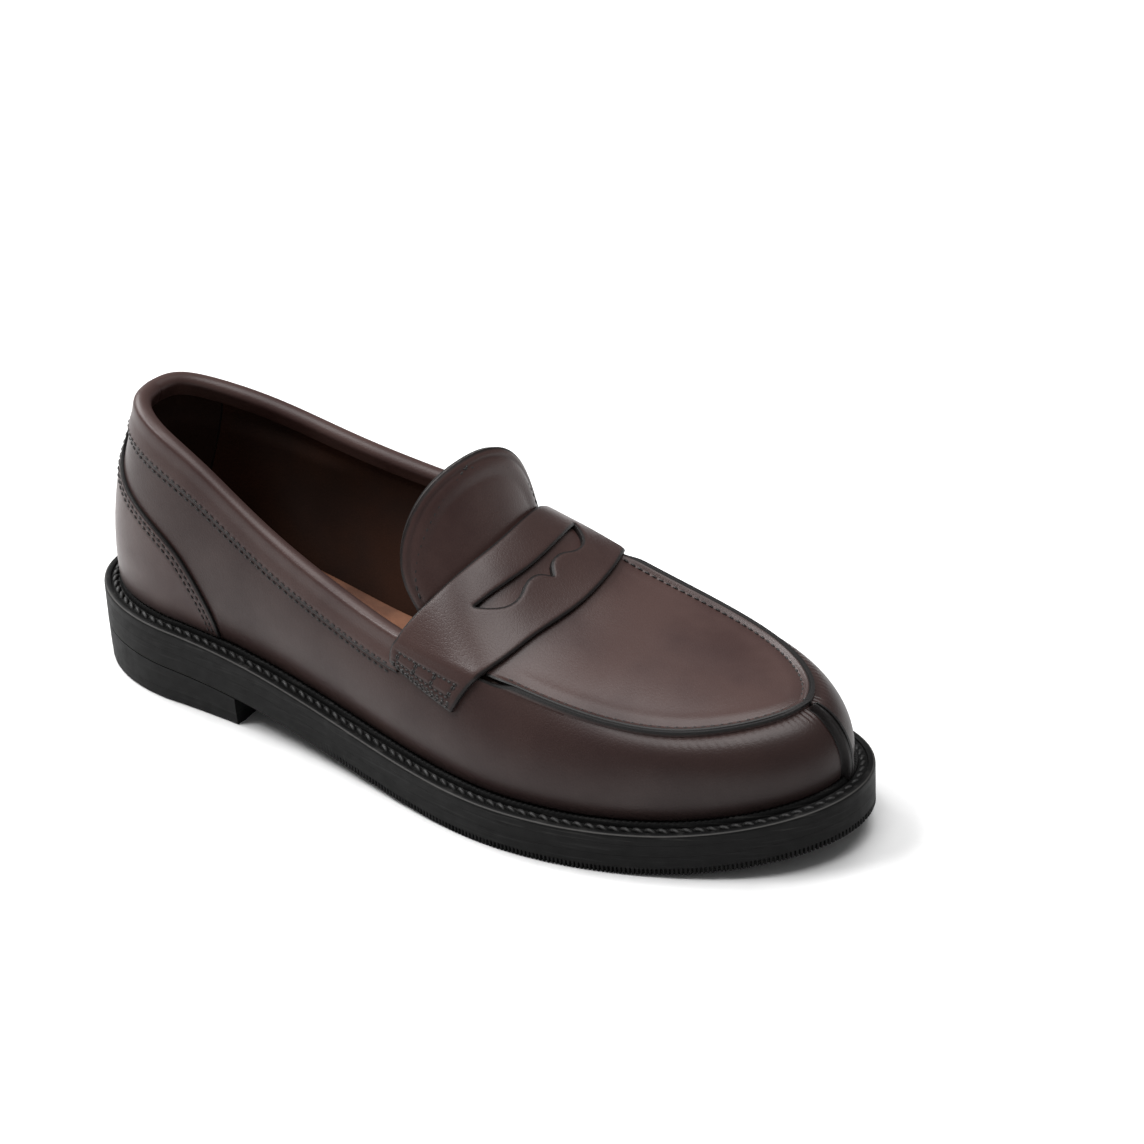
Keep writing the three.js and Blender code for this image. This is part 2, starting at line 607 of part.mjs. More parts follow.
const seamEdge = (s) => 1 - (apronEdge + 1.6) / halfSpan(s);
const apronThreadRibs = steps(0.635, 0.92, 18);
const apronThread = thread([
  ...apronThreadRibs.map((s) => add(apronAt(s, -seamEdge(s)), [0, 0, 1], threadLift)),
  ...[...apronThreadRibs].reverse().map((s) => add(apronAt(s, seamEdge(s)), [0, 0, 1], threadLift))], 48);
const toeThread = thread(steps(0.1, 0.9, 10).map((v) => add(wallAt(LATERAL, 0.995, v),
  wallNormal(LATERAL, 0.995, v), threadLift)), 12);
const tongueThread = thread(steps(0.06, 0.94, 26).map((turn) => {
  const k = -Math.cos(turn * Math.PI) * 0.86;
  const b = Math.sin(turn * Math.PI) ** 0.75 * 0.88;
  return add(tongueAt(b, k), [0.7, 0, 0.7], threadLift);
}), 24);
const strapThread = (side) => thread(steps(0.08, 0.92, 8).map((b) => {
  const s = mix(strapRear(side * 1.2), strapFront(side * 1.2), b);
  const v = 1 - 0.66 * (1 - mix(strapEndRear, strapEndFront, b));
  return add(wallAt(side, s, v), wallNormal(side, s, v), strapOnTop + strapLeather + threadLift);
}), 10);

// ---------------------------------------------------------------- assembly
const finish = (color, roughness, metalness = 0) => ({ color, roughness, metalness });
const calf = finish(0x3e3230, 0.4);
const lining = finish(0x22120c, 0.7);
const rubber = finish(0x1b1b1b, 0.55);
const leatherboard = finish(0x9a7b58, 0.85);
const steel = finish(0x8a8d90, 0.35, 1);
const cork = finish(0xa9825a, 0.95);
const inkedThread = finish(0x1c1310, 0.8);

const pieces = [
  ['outsole', drilledOutsole, rubber],
  ['midsole', midsole, rubber],
  ['welt', welt, rubber],
  ['heel_block', drilledHeelBlock, rubber],
  ['heel_top_piece', drilledTopPiece, rubber],
  ...nailPlaces.map((place, i) => [`heel_nail_${i + 1}`, nail(place), steel]),
  ['shank', shank, steel],
  ['cork_filler', corkFiller, cork],
  ['insole_rib', insoleRib, leatherboard],
  ['insole', insole, leatherboard],
  ['sock_liner', sockLiner, lining],
  ['side_wall_lateral', sideWall(LATERAL), calf],
  ['side_wall_medial', sideWall(MEDIAL), calf],
  ['apron', apron, calf],
  ['saddle_strap', saddleStrap, calf],
  ['heel_counter', heelCounter, calf],
  ['collar_binding', collarBinding, calf],
  ['tongue', tongue, calf],
  ['tongue_lining', tongueLining, lining],
  ['counter_stiffener', counterStiffener, leatherboard],
  ['toe_puff', toePuff, leatherboard],
  ['heel_grip_lining', heelGrip, lining],
  ['quarter_lining_lateral', quarterLining(LATERAL), lining],
  ['quarter_lining_medial', quarterLining(MEDIAL), lining],
  ['vamp_lining', vampLining, lining],
  ['welt_thread', weltThread, inkedThread],
  ['collar_thread', collarThread, inkedThread],
  ['apron_thread', apronThread, inkedThread],
  ['toe_seam_thread', toeThread, inkedThread],
  ['tongue_thread', tongueThread, inkedThread],
  ['strap_thread_lateral', strapThread(LATERAL), inkedThread],
  ['strap_thread_medial', strapThread(MEDIAL), inkedThread],
];

const group = new THREE.Group();
for (const [name, shape, look] of pieces) {
  const mesh = new THREE.Mesh(shape, new THREE.MeshStandardMaterial(look));
  mesh.name = name;
  group.add(mesh);
}
const sides = steps(0, 2 * Math.PI, 720).map((t) => outlineAt(t)[1]);
group.position.set(-soleLength / 2, -(Math.min(...sides) + Math.max(...sides)) / 2, 0);

export default group;
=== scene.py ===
"""Penny loafer, right shoe: the leather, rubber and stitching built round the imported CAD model.

Lengths inside the shape functions are millimetres in the shoemaker's frame: x from the back of the
sole, y to the inner side of the foot, z from the ground. place() turns them into metres in the row frame.
"""
import math

import bmesh
import bpy
import numpy as np
from mathutils import Matrix, Vector
from mathutils.kdtree import KDTree


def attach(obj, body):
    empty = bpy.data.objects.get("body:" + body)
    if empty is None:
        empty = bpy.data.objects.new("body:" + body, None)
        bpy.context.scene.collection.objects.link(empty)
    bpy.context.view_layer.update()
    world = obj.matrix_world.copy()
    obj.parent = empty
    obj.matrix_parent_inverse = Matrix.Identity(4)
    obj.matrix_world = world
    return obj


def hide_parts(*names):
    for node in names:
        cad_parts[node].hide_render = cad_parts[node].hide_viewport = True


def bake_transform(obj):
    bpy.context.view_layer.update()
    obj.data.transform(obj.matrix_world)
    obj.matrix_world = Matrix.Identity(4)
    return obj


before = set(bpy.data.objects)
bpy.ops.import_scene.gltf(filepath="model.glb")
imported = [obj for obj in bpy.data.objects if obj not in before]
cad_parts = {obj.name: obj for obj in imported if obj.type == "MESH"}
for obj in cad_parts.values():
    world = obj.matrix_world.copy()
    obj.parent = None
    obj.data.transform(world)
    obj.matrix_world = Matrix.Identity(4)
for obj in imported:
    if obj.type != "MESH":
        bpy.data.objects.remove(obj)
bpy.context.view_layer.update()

MM = 0.001
LATERAL, MEDIAL = -1, 1

# ------------------------------------------------------------------ driving dimensions
SOLE_LENGTH = 268.0
SOLE_THICKNESS = 13.3
WELT_THICKNESS = 3.0
WELT_SHOW = 6.6
HEEL_LENGTH = 66.0
TOP_PIECE = 4.0
UPPER_LEATHER = 1.5
LINING_LEATHER = 0.8
STIFFENER = 1.0
STRAP_LEATHER = 1.9
BINDING_WIDTH = 10.5
TONGUE_LENGTH = 26.0
LAYER_GAP = 0.45


def spline(points):
    """Natural cubic spline through (t, value) points."""
    t = np.array([p[0] for p in points], float)
    y = np.array([p[1] for p in points], float)
    n = len(t)
    span = np.diff(t)
    system = np.eye(n)
    right = np.zeros(n)
    for i in range(1, n - 1):
        system[i, i - 1:i + 2] = span[i - 1], 2 * (span[i - 1] + span[i]), span[i]
        right[i] = 6 * ((y[i + 1] - y[i]) / span[i] - (y[i] - y[i - 1]) / span[i - 1])
    bend = np.linalg.solve(system, right)

    def at(x):
        x = np.asarray(x, float)
        i = np.clip(np.searchsorted(t, x) - 1, 0, n - 2)
        a = (t[i + 1] - x) / span[i]
        b = (x - t[i]) / span[i]
        cubic = (a ** 3 - a) * bend[i] + (b ** 3 - b) * bend[i + 1]
        return a * y[i] + b * y[i + 1] + cubic * span[i] ** 2 / 6
    return at


def smooth(low, high, x):
    w = np.clip((x - low) / (high - low), 0, 1)
    return w * w * (3 - 2 * w)


def bead(distance, at, width):
    """1 at a distance from an edge, falling away smoothly over the width on both sides."""
    return np.exp(-((distance - at) / width) ** 2)


def mix(a, b, k):
    return a + (b - a) * k


def unit(v):
    return v / np.maximum(np.linalg.norm(v, axis=-1, keepdims=True), 1e-12)


def stack(x, y, z):
    return np.stack(np.broadcast_arrays(x, y, z), -1).astype(float)


# ------------------------------------------------------------------ sole outline
HEEL_CAP, TOE_CAP = 0.15, 0.70
half_width = spline([(0, 30.2), (.15, 30.2), (.30, 30.4), (.42, 32.2), (.54, 38), (.64, 43.2), (.74, 45),
                     (.87, 45), (1, 45)])
mid_line = spline([(0, .6), (.15, .2), (.30, -3.6), (.42, -8.2), (.54, -10.4), (.64, -9.2), (.74, -5.8),
                   (.87, -2.2), (1, -.9)])
welt_top = spline([(0, 27.2), (.25, 23), (.42, 16.6), (.55, 13.7), (.70, 13.2), (.85, 14.6), (1, 21.4)])


def outline(t):
    """Sole edge at angle t: 0 at the back, pi at the toe, the lateral side first."""
    u = (1 - np.cos(t)) / 2
    heel = np.where(u < HEEL_CAP, 1 - u / HEEL_CAP, 0)
    toe = np.where(u > TOE_CAP, (u - TOE_CAP) / (1 - TOE_CAP), 0)
    cap = np.sqrt(np.maximum(0, 1 - heel ** 2)) * np.sqrt(np.maximum(0, 1 - toe ** 2))
    side = np.where(np.sin(t) >= 0, LATERAL, MEDIAL)
    return u * SOLE_LENGTH, mid_line(u) + side * half_width(u) * cap


def inset_outline(t, inset):
    """The sole edge moved inwards in plan: x, y and the outward normal."""
    step = 1e-3
    x, y = outline(t)
    x1, y1 = outline(t + step)
    x0, y0 = outline(t - step)
    dx, dy = x1 - x0, y1 - y0
    size = np.hypot(dx, dy)
    return x - dy / size * inset, y + dx / size * inset, dy / size, -dx / size


def sole_top(x):
    return welt_top(np.clip(x / SOLE_LENGTH, 0, 1))


edge_y = outline(np.linspace(0, 2 * math.pi, 721))[1]
Y_MIDDLE = (edge_y.min() + edge_y.max()) / 2
ORIGIN = np.array([SOLE_LENGTH / 2, Y_MIDDLE, 0])


def place(points):
    return (np.asarray(points, float) - ORIGIN) * MM


# ------------------------------------------------------------------ skin of the upper
def edge(rows):
    parts = [spline([(row[0], row[i]) for row in rows]) for i in (1, 2, 3)]
    return lambda s: np.stack([part(s) for part in parts], -1)


TOP_EDGE = {
    LATERAL: edge([(0, 21, 0, 93), (.08, 24, -10.5, 93), (.16, 34.5, -18, 90), (.26, 54, -21.5, 81.2),
                   (.35, 78, -24.5, 67.2), (.43, 105, -29, 56.8), (.50, 130, -33.5, 50.5),
                   (.57, 152, -37, 48.5), (.62, 168, -38, 46.5), (.70, 193, -36.5, 42),
                   (.79, 218, -30.5, 39.5), (.87, 236, -20.5, 40.5), (.94, 247, -9.5, 42),
                   (1, 250.5, -1, 42.8)]),
    MEDIAL: edge([(0, 21, 0, 93), (.08, 24, 10.5, 92), (.16, 34.5, 18.5, 87.8), (.26, 55, 24.5, 81.2),
                  (.35, 80, 27.5, 73.8), (.43, 107, 30, 68), (.50, 131, 33, 63), (.57, 153, 34.5, 57.5),
                  (.62, 169.5, 34, 53), (.70, 194, 32.5, 47.5), (.79, 218, 28.5, 43.5),
                  (.87, 236, 19.5, 42.5), (.94, 247, 8, 42.8), (1, 250.5, -1, 42.8)]),
}
swell_low = spline([(0, .3), (.2, 2.5), (.45, 5), (.6, 4), (.8, 3), (1, 2)])
swell_high = spline([(0, 8.8), (.2, 6), (.45, 4), (.6, 4), (.8, 7), (1, 7)])
rise_low = spline([(0, .33), (.5, .35), (.8, .45), (1, .5)])
fall_high = spline([(0, .3), (.5, .3), (.65, .2), (.8, .06), (1, .05)])
CORNER = 1.8
MARGIN_GAP = 0.3
STRAP_FRONT_RIB = 0.62
LIP_HEIGHT = 1.8


def wall(side, s, v):
    """Outside of a side wall. v is 0 at the welt, 1 at the top edge, and up to 2 on the raised lip."""
    s, v = np.broadcast_arrays(np.asarray(s, float), np.asarray(v, float))
    t = math.pi * s
    x, y, out_x, out_y = inset_outline(t if side == LATERAL else 2 * math.pi - t, WELT_SHOW)
    out = stack(out_x, out_y, 0)
    base = stack(x, y, sole_top(x) + MARGIN_GAP + CORNER)
    top = TOP_EDGE[side](s)
    height = (top[..., 2] - base[..., 2])[..., None]
    up = np.array([0, 0, 1.0])
    low = base + out * swell_low(s)[..., None] + up * height * rise_low(s)[..., None]
    high = top + out * swell_high(s)[..., None] - up * height * fall_high(s)[..., None]
    w = np.clip(v, 0, 1)[..., None]
    point = (1 - w) ** 3 * base + 3 * (1 - w) ** 2 * w * low + 3 * (1 - w) * w * w * high + w ** 3 * top
    lip = np.clip(v - 1, 0, 1) * LIP_HEIGHT * smooth(STRAP_FRONT_RIB - .01, STRAP_FRONT_RIB + .02, s)
    tuck = np.clip(-v, 0, 1)
    return point + up * (lip - CORNER * np.sin(tuck * math.pi / 2))[..., None] \
        - out * (CORNER * (1 - np.cos(tuck * math.pi / 2)))[..., None]


def wall_normal(side, s, v, step=2e-3):
    s, v = np.broadcast_arrays(np.asarray(s, float), np.asarray(v, float))
    along = wall(side, np.clip(s + step, 0, 1), v) - wall(side, np.clip(s - step, 0, 1), v)
    top = np.minimum(v + step, 1)
    up = wall(side, s, top) - wall(side, s, top - 2 * step)
    out = np.cross(along, up) * -side
    seam = (s <= 0) | (s >= 1)
    out[..., 1] = np.where(seam, 0, out[..., 1])
    return unit(out)


crown = spline([(.5, 17), (.545, 15.5), (.62, 5.5), (.70, 4), (.85, 3), (.95, 1), (1, 0)])
CROWN_POWER = 2.6


def apron(s, w):
    """Top of the forepart between the two top edges, w from -1 (lateral) to 1 (medial)."""
    s, w = np.broadcast_arrays(np.asarray(s, float), np.asarray(w, float))
    k = ((w + 1) / 2)[..., None]
    point = mix(TOP_EDGE[LATERAL](s), TOP_EDGE[MEDIAL](s), k)
    point[..., 2] += crown(s) * (1 - np.abs(w) ** CROWN_POWER)
    return point


strap_rear = spline([(-1.3, .498), (-1, .503), (-.8, .518), (0, .548), (.85, .538), (1, .532), (1.3, .52)])
strap_front = spline([(-1.3, .566), (-1, .599), (-.5, .62), (0, .63), (.6, .628), (1, .615), (1.3, .595)])
STRAP_END_REAR, STRAP_END_FRONT = 0.78, 0.60
STRAP_OVERHANG = 0.3


def strap(b, q):
    """Under side of the saddle strap: b from rear to front, q over the top and beyond 1 on the walls."""
    b, q = np.broadcast_arrays(np.asarray(b, float), np.asarray(q, float))
    s = mix(strap_rear(q), strap_front(q), b)
    share = np.clip((np.abs(q) - 1) / STRAP_OVERHANG, 0, 1)
    v = 1 - share * (1 - mix(STRAP_END_REAR, STRAP_END_FRONT, b))
    over = apron(s, np.clip(q, -1, 1))
    lateral = wall(LATERAL, s, v)
    medial = wall(MEDIAL, s, v)
    return np.where((q < -1)[..., None], lateral, np.where((q > 1)[..., None], medial, over))


TONGUE_HALF, TONGUE_BACK, TONGUE_SWEEP, TONGUE_POWER = 0.83, 10.5, 6.0, 3.2
TONGUE_RISE = math.sqrt(TONGUE_LENGTH ** 2 - TONGUE_BACK ** 2)


# ------------------------------------------------------------------ making pieces
def new_piece(name, points, faces, body="shoe", marks=None):
    """Mesh object from millimetre points. marks holds edge distance, burnish and painted shade (with ink on
    some edges) per point.
    """
    mesh = bpy.data.meshes.new(name)
    mesh.from_pydata(place(points).tolist(), [], [list(face) for face in faces])
    if marks is None:
        marks = np.tile([1.0, 0, 0], (len(points), 1))
    layer = mesh.color_attributes.new("marks", "FLOAT_COLOR", "POINT")
    layer.data.foreach_set("color", np.column_stack([marks, np.ones(len(points))]).ravel())
    mesh.shade_smooth()
    piece = bpy.data.objects.new(name, mesh)
    bpy.context.scene.collection.objects.link(piece)
    if body:
        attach(piece, body)
    return piece


def finish_piece(piece, material, nodes=()):
    """Gives a piece its finish and hides the CAD nodes it stands for."""
    piece.data.materials.clear()
    piece.data.materials.append(material)
    if nodes:
        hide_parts(*nodes)


def weld_points(piece, distance=0.004):
    """Joins points that coincide and turns every face outwards."""
    shape = bmesh.new()
    shape.from_mesh(piece.data)
    bmesh.ops.remove_doubles(shape, verts=shape.verts, dist=distance * MM)
    bmesh.ops.recalc_face_normals(shape, faces=shape.faces)
    shape.to_mesh(piece.data)
    shape.free()


def grid_faces(rows, columns, keep=None, wrap=False):
    """Quads of a grid of points stored row by row; wrap joins the last row to the first."""
    i, j = np.meshgrid(np.arange(rows if wrap else rows - 1), np.arange(columns - 1), indexing="ij")
    if keep is not None:
        i, j = i[keep], j[keep]
    i, j = i.ravel(), j.ravel()
    low, high = i * columns + j, (i + 1) % rows * columns + j
    return np.stack([low, high, high + 1, low + 1], -1)


def grid_normals(points):
    """Normals of a grid from central differences, row direction crossed with column direction."""
    return unit(np.cross(np.gradient(points, axis=0), np.gradient(points, axis=1)))


def edge_distance(points, rims):
    """Distance in mm of each point to the nearest rim point."""
    flat = points.reshape(-1, 3)
    tree = KDTree(len(rims))
    for i, rim in enumerate(rims):
        tree.insert(rim, i)
    tree.balance()
    return np.array([tree.find(point)[2] for point in flat]).reshape(points.shape[:-1])


def grid_rims(outer, keep=None):
    """Points along every open edge of a grid, a few per mm."""
    faces = grid_faces(*outer.shape[:2], keep=keep)
    edges = {}
    for a, b in np.concatenate([faces[:, [k, (k + 1) % 4]] for k in range(4)]).tolist():
        key = (min(a, b), max(a, b))
        edges[key] = edges.get(key, 0) + 1
    open_edges = np.array([key for key, count in edges.items() if count == 1])
    flat = outer.reshape(-1, 3)
    ends = flat[open_edges]
    return np.concatenate([mix(ends[:, 0], ends[:, 1], share) for share in (0, 0.25, 0.5, 0.75)])


def leather(name, outer, inner, keep=None, body="shoe", soft=0.5, burnish=0.0, shade_and_ink=0.0, rims=None):
    """Closed piece of leather between the grids of its outside and inside faces, cut edges rounded."""
    rows, columns = outer.shape[:2]
    faces = grid_faces(rows, columns, keep=keep)
    count = rows * columns
    edges = {}
    for a, b in np.concatenate([faces[:, [k, (k + 1) % 4]] for k in range(4)]).tolist():
        edges[(a, b)] = True
    rim = [(b, a, a + count, b + count) for a, b in edges if (b, a) not in edges]
    everything = np.concatenate([faces, faces[:, ::-1] + count, np.array(rim)])
    used, index = np.unique(everything, return_inverse=True)
    points = np.concatenate([outer.reshape(-1, 3), inner.reshape(-1, 3)])[used]
    distance = edge_distance(outer, grid_rims(outer, keep) if rims is None else rims)
    # The third mark darkens grooves, seams and edges towards the ink colour: painted shade, with real ink
    # on some cut edges.
    shades = [np.clip(distance / 10, 0, 1), burnish, shade_and_ink]
    marks = np.stack([np.broadcast_to(shade, (rows, columns)).ravel() for shade in shades], -1)
    piece = new_piece(name, points, index.reshape(-1, 4), body, np.concatenate([marks, marks])[used])
    weld_points(piece)
    if soft:
        bevel = piece.modifiers.new("rounded_edge", "BEVEL")
        bevel.width = soft * MM
        bevel.segments = 3
        bevel.limit_method = "ANGLE"
        bevel.angle_limit = math.radians(50)
    return piece


def sole_loft(name, profile, stations, top_spokes=1, bottom=None, bottom_spokes=1, breast=False):
    """Solid layer of the sole with one profile per station of the outline.

    profile(t) gives rows of (inset, height) from the top face to the bottom face for every outline
    angle t. The faces are carried in to the middle line along spokes. bottom(x, share) lifts the under
    face, and breast closes the front of a heel that ends at the first and last station.
    """
    insets, heights = profile(stations)
    x, y, _, _ = inset_outline(stations[:, None], insets)
    side = stack(x, y, heights)
    far = inset_outline(-stations[:, None], insets)
    middle = stack((x + far[0]) / 2, (y + far[1]) / 2, heights)
    shares = np.linspace(1, 0, top_spokes + 1)[:-1]
    above = [mix(side[:, 0], middle[:, 0], share) for share in shares]
    below = [mix(side[:, -1], middle[:, -1], share) for share in np.linspace(0, 1, bottom_spokes + 1)[1:]]
    if bottom is not None:
        for k, row in enumerate(below):
            row[:, 2] += bottom(row[:, 0], (k + 1) / bottom_spokes)
    loops = np.stack(above + [side[:, k] for k in range(side.shape[1])] + below, 1)
    rows, columns = loops.shape[:2]
    faces = grid_faces(rows, columns, wrap=not breast).tolist()
    if breast:
        faces.append(list(range(columns)))
        faces.append(list(range((rows - 1) * columns, rows * columns))[::-1])
    piece = new_piece(name, loops.reshape(-1, 3), faces)
    weld_points(piece)
    piece.data.set_sharp_from_angle(angle=math.radians(30))
    return piece


# ------------------------------------------------------------------ stitching
def run_along(path, normals, pitch):
    """Points every pitch mm along a path, with the path's direction and the surface normal there."""
    lengths = np.concatenate([[0], np.cumsum(np.linalg.norm(np.diff(path, axis=0), axis=1))])
    count = max(1, int(round(lengths[-1] / pitch)))
    at = (np.arange(count) + 0.5) * lengths[-1] / count

    def sample(values, where):
        return np.stack([np.interp(where, lengths, values[:, i]) for i in range(3)], -1)
    direction = unit(sample(path, at + 0.3) - sample(path, at - 0.3))
    return sample(path, at), direction, unit(sample(normals, at))


def stitches(name, rows, pitch, length, radius, body="shoe", slant=0.0, rise=0.45):
    """One mesh of separate stitches, each a plump thread whose two ends dive into the leather."""
    around, along = 7, 7
    turn = np.linspace(0, 2 * math.pi, around, endpoint=False)
    run = np.linspace(-1, 1, along)
    girth = 0.25 + 0.75 * np.sqrt(1 - run ** 2) ** 0.7
    points, faces = [], []
    for path, normals in rows:
        for p, t, n in zip(*run_along(np.asarray(path, float), np.asarray(normals, float), pitch)):
            across = unit(np.cross(t, n))
            t = unit(t + across * slant)
            across = unit(np.cross(t, n))
            up = np.cross(across, t)
            first = len(points)
            for k in range(along):
                centre = p + t * (run[k] * length / 2) + up * radius * (rise - 1.1 * run[k] ** 2)
                ring = np.cos(turn)[:, None] * across + np.sin(turn)[:, None] * up
                points.extend(centre + ring * radius * girth[k])
            for k in range(along - 1):
                low = first + k * around
                faces.extend([low + j, low + (j + 1) % around,
                              low + around + (j + 1) % around, low + around + j] for j in range(around))
            faces.append([first + j for j in range(around)][::-1])
            faces.append([first + (along - 1) * around + j for j in range(around)])
    return new_piece(name, np.array(points), faces, body)


# ------------------------------------------------------------------ sole pieces
RUBBER_GAP = 0.05
MIDSOLE_TOP, MIDSOLE_BOTTOM = -WELT_THICKNESS - 0.15, -WELT_THICKNESS - 3.85
SERRATION_PITCH, SERRATION_DEPTH, SERRATION_HEIGHT = 1.3, 0.8, 2.4
TREAD_PITCH, TREAD_DEPTH = 4.4, 1.3
HEEL_ANGLE = math.acos(1 - 2 * HEEL_LENGTH / SOLE_LENGTH)


def outsole_bottom(x):
    return np.maximum(0, sole_top(x) - SOLE_THICKNESS)


HALF_TURN = np.linspace(0, math.pi, 3001)
EDGE_STEPS = np.hypot(*np.diff(outline(HALF_TURN)))
EDGE_LENGTHS = np.concatenate([[0], np.cumsum(EDGE_STEPS)])


def around_sole(count):
    """Outline angles evenly spread along the sole edge, starting at the back."""
    half = np.interp(np.linspace(0, EDGE_LENGTHS[-1], count // 2 + 1), EDGE_LENGTHS, HALF_TURN)
    return np.concatenate([half, -half[1:-1][::-1]])


def edge_run(t):
    """Length in mm along the sole edge from the back to angle t."""
    return np.interp(np.abs(t), HALF_TURN, EDGE_LENGTHS)


def rows_of(t, pairs):
    """Profile rows from (inset, height above the ground) pairs, each a number or one value per station."""
    insets = np.stack([np.broadcast_to(pair[0], t.shape) for pair in pairs], 1)
    heights = np.stack([np.broadcast_to(pair[1], t.shape) for pair in pairs], 1)
    return insets, heights


def closed(rows):
    """Rows with their first column repeated at the end."""
    return np.concatenate([rows, rows[:, :1]], 1)


def make_welt():
    def profile(t):
        top = sole_top(outline(t)[0])
        bead = 0.16 * np.sin(edge_run(t) / 1.9 * 2 * math.pi)
        shape = [(14, 0), (7.6, 0), (7.1, 0.35), (6.75, 0.8 + bead), (6.25, 1.2 + bead), (5.75, 1.2 + bead),
                 (5.3, 0.8 + bead), (5.05, 0.1), (4.9, -0.45), (4.4, -0.6), (2.7, -0.6), (2.3, -0.45),
                 (2.1, 0.05), (1.8, 0.22), (0.9, 0.2), (0.35, 0.05), (0.08, -0.25), (0, -0.7), (0, -1.8),
                 (0, -WELT_THICKNESS - 0.1), (14, -WELT_THICKNESS - 0.1)]
        return rows_of(t, [(inset, top + height) for inset, height in shape])
    t = around_sole(1400)
    insets, heights = profile(t)
    x, y, _, _ = inset_outline(t[:, None], insets)
    loops = closed(stack(x, y, heights))
    faces = grid_faces(len(t), loops.shape[1], wrap=True)
    piece = new_piece("welt_strip", loops.reshape(-1, 3), faces, "shoe",
                      welt_highlight_and_wear(closed(insets), closed(heights), t))
    weld_points(piece)
    piece.data.set_sharp_from_angle(angle=math.radians(35))
    return piece


def welt_highlight_and_wear(insets, heights, t):
    """Marks along the outer rim of the welt and the sole edge: the rounded rim turns light grey, painted
    highlight together with scuff wear.
    """
    top = sole_top(outline(t)[0])[:, None]
    rim = np.exp(-(insets - 0.35) ** 2 / 0.25 - (heights - top - 0.1) ** 2 / 0.12)
    low = np.exp(-(insets - 5.9) ** 2 / 0.5)
    return np.stack([1 - rim, low, np.zeros_like(rim)], -1).reshape(-1, 3)


def make_midsole():
    def profile(t):
        top = sole_top(outline(t)[0])
        return rows_of(t, [(3, top + MIDSOLE_TOP), (0, top + MIDSOLE_TOP), (0, top - 5),
                           (0, top + MIDSOLE_BOTTOM), (3, top + MIDSOLE_BOTTOM)])
    return sole_loft("midsole_layer", profile, around_sole(480))


def make_outsole():
    def profile(t):
        x = outline(t)[0]
        top, low = sole_top(x) + MIDSOLE_BOTTOM - RUBBER_GAP, outsole_bottom(x)
        tooth = smooth(0.1, 0.5, np.sin(edge_run(t) / SERRATION_PITCH * 2 * math.pi))
        notch = SERRATION_DEPTH * tooth * smooth(HEEL_LENGTH + 30, HEEL_LENGTH + 60, x)
        start = low + SERRATION_HEIGHT
        return rows_of(t, [(3, top), (0, top), (0, mix(top, start, 0.5)), (0, start),
                           (notch * 0.9, start - 0.35), (notch, low + 0.35), (notch + 0.3, low),
                           (3.2, low)])

    def tread(x, share):
        """Cross ribs under the forepart, inside a plain border."""
        rib = smooth(-0.2, 0.25, np.sin(x / TREAD_PITCH * 2 * math.pi))
        inside = smooth(HEEL_LENGTH + 26, HEEL_LENGTH + 30, x) * smooth(258, 254, x)
        return TREAD_DEPTH * rib * inside * (0.12 < share < 0.999)
    return sole_loft("outsole", profile, around_sole(2800), bottom=tread, bottom_spokes=7)


def make_heel_block():
    def profile(t):
        x = outline(t)[0]
        top = outsole_bottom(x) - RUBBER_GAP
        low = TOP_PIECE + RUBBER_GAP
        return rows_of(t, [(3, top), (0.02, top), (0.04, top - 0.4), (0.12, mix(top, low, 0.5)),
                           (0.22, low + 0.3), (0.26, low), (3, low)])
    return sole_loft("heel_stack", profile, np.linspace(-HEEL_ANGLE, HEEL_ANGLE, 321), breast=True)


def make_top_piece():
    def profile(t):
        zero = np.zeros_like(t)
        return rows_of(t, [(3, zero + TOP_PIECE), (0.26, zero + TOP_PIECE),
                           (0.28, zero + TOP_PIECE - 0.25), (0.34, zero + 1.2), (0.45, zero + 0.5),
                           (0.7, zero + 0.12), (1.2, zero), (4, zero)])
    return sole_loft("heel_lift", profile, np.linspace(-HEEL_ANGLE, HEEL_ANGLE, 321), breast=True)


def make_sock():
    def profile(t):
        x = outline(t)[0]
        top = sole_top(x) + 7.6
        low = sole_top(x) + 6.4
        return rows_of(t, [(16, top - 0.25), (13, top - 0.1), (11.9, top), (11.5, top - 0.15),
                           (11.4, top - 0.5), (11.4, low + 0.1), (11.6, low), (16, low)])
    return sole_loft("sock", profile, around_sole(420), top_spokes=8)


# ------------------------------------------------------------------ side walls
SEAM_END = 0.9992
RIDGE_HEIGHT = 1.9


def lifted(points, normals, amount):
    """Points moved along their normals by an amount in mm, one for all or one each."""
    return points + normals * np.broadcast_to(amount, points.shape[:-1])[..., None]


def wall_frame(side, s, v):
    """Outside points and normals of a wall, carried on round the bottom corner and up the lip."""
    s, v = np.broadcast_arrays(s, v)
    points = wall(side, s, v)
    normals = wall_normal(side, s, np.clip(v, 0, 1))
    flat = unit(normals * [1, 1, 0])
    tuck = (np.clip(-v, 0, 1) * math.pi / 2)[..., None]
    under = flat * np.cos(tuck) - np.array([0, 0, 1.0]) * np.sin(tuck)
    normals = np.where((v < 0)[..., None], under, normals)
    rise = (smooth(1, 1.35, v) * smooth(.60, .64, s))[..., None]
    return points, unit(mix(normals, flat, rise))


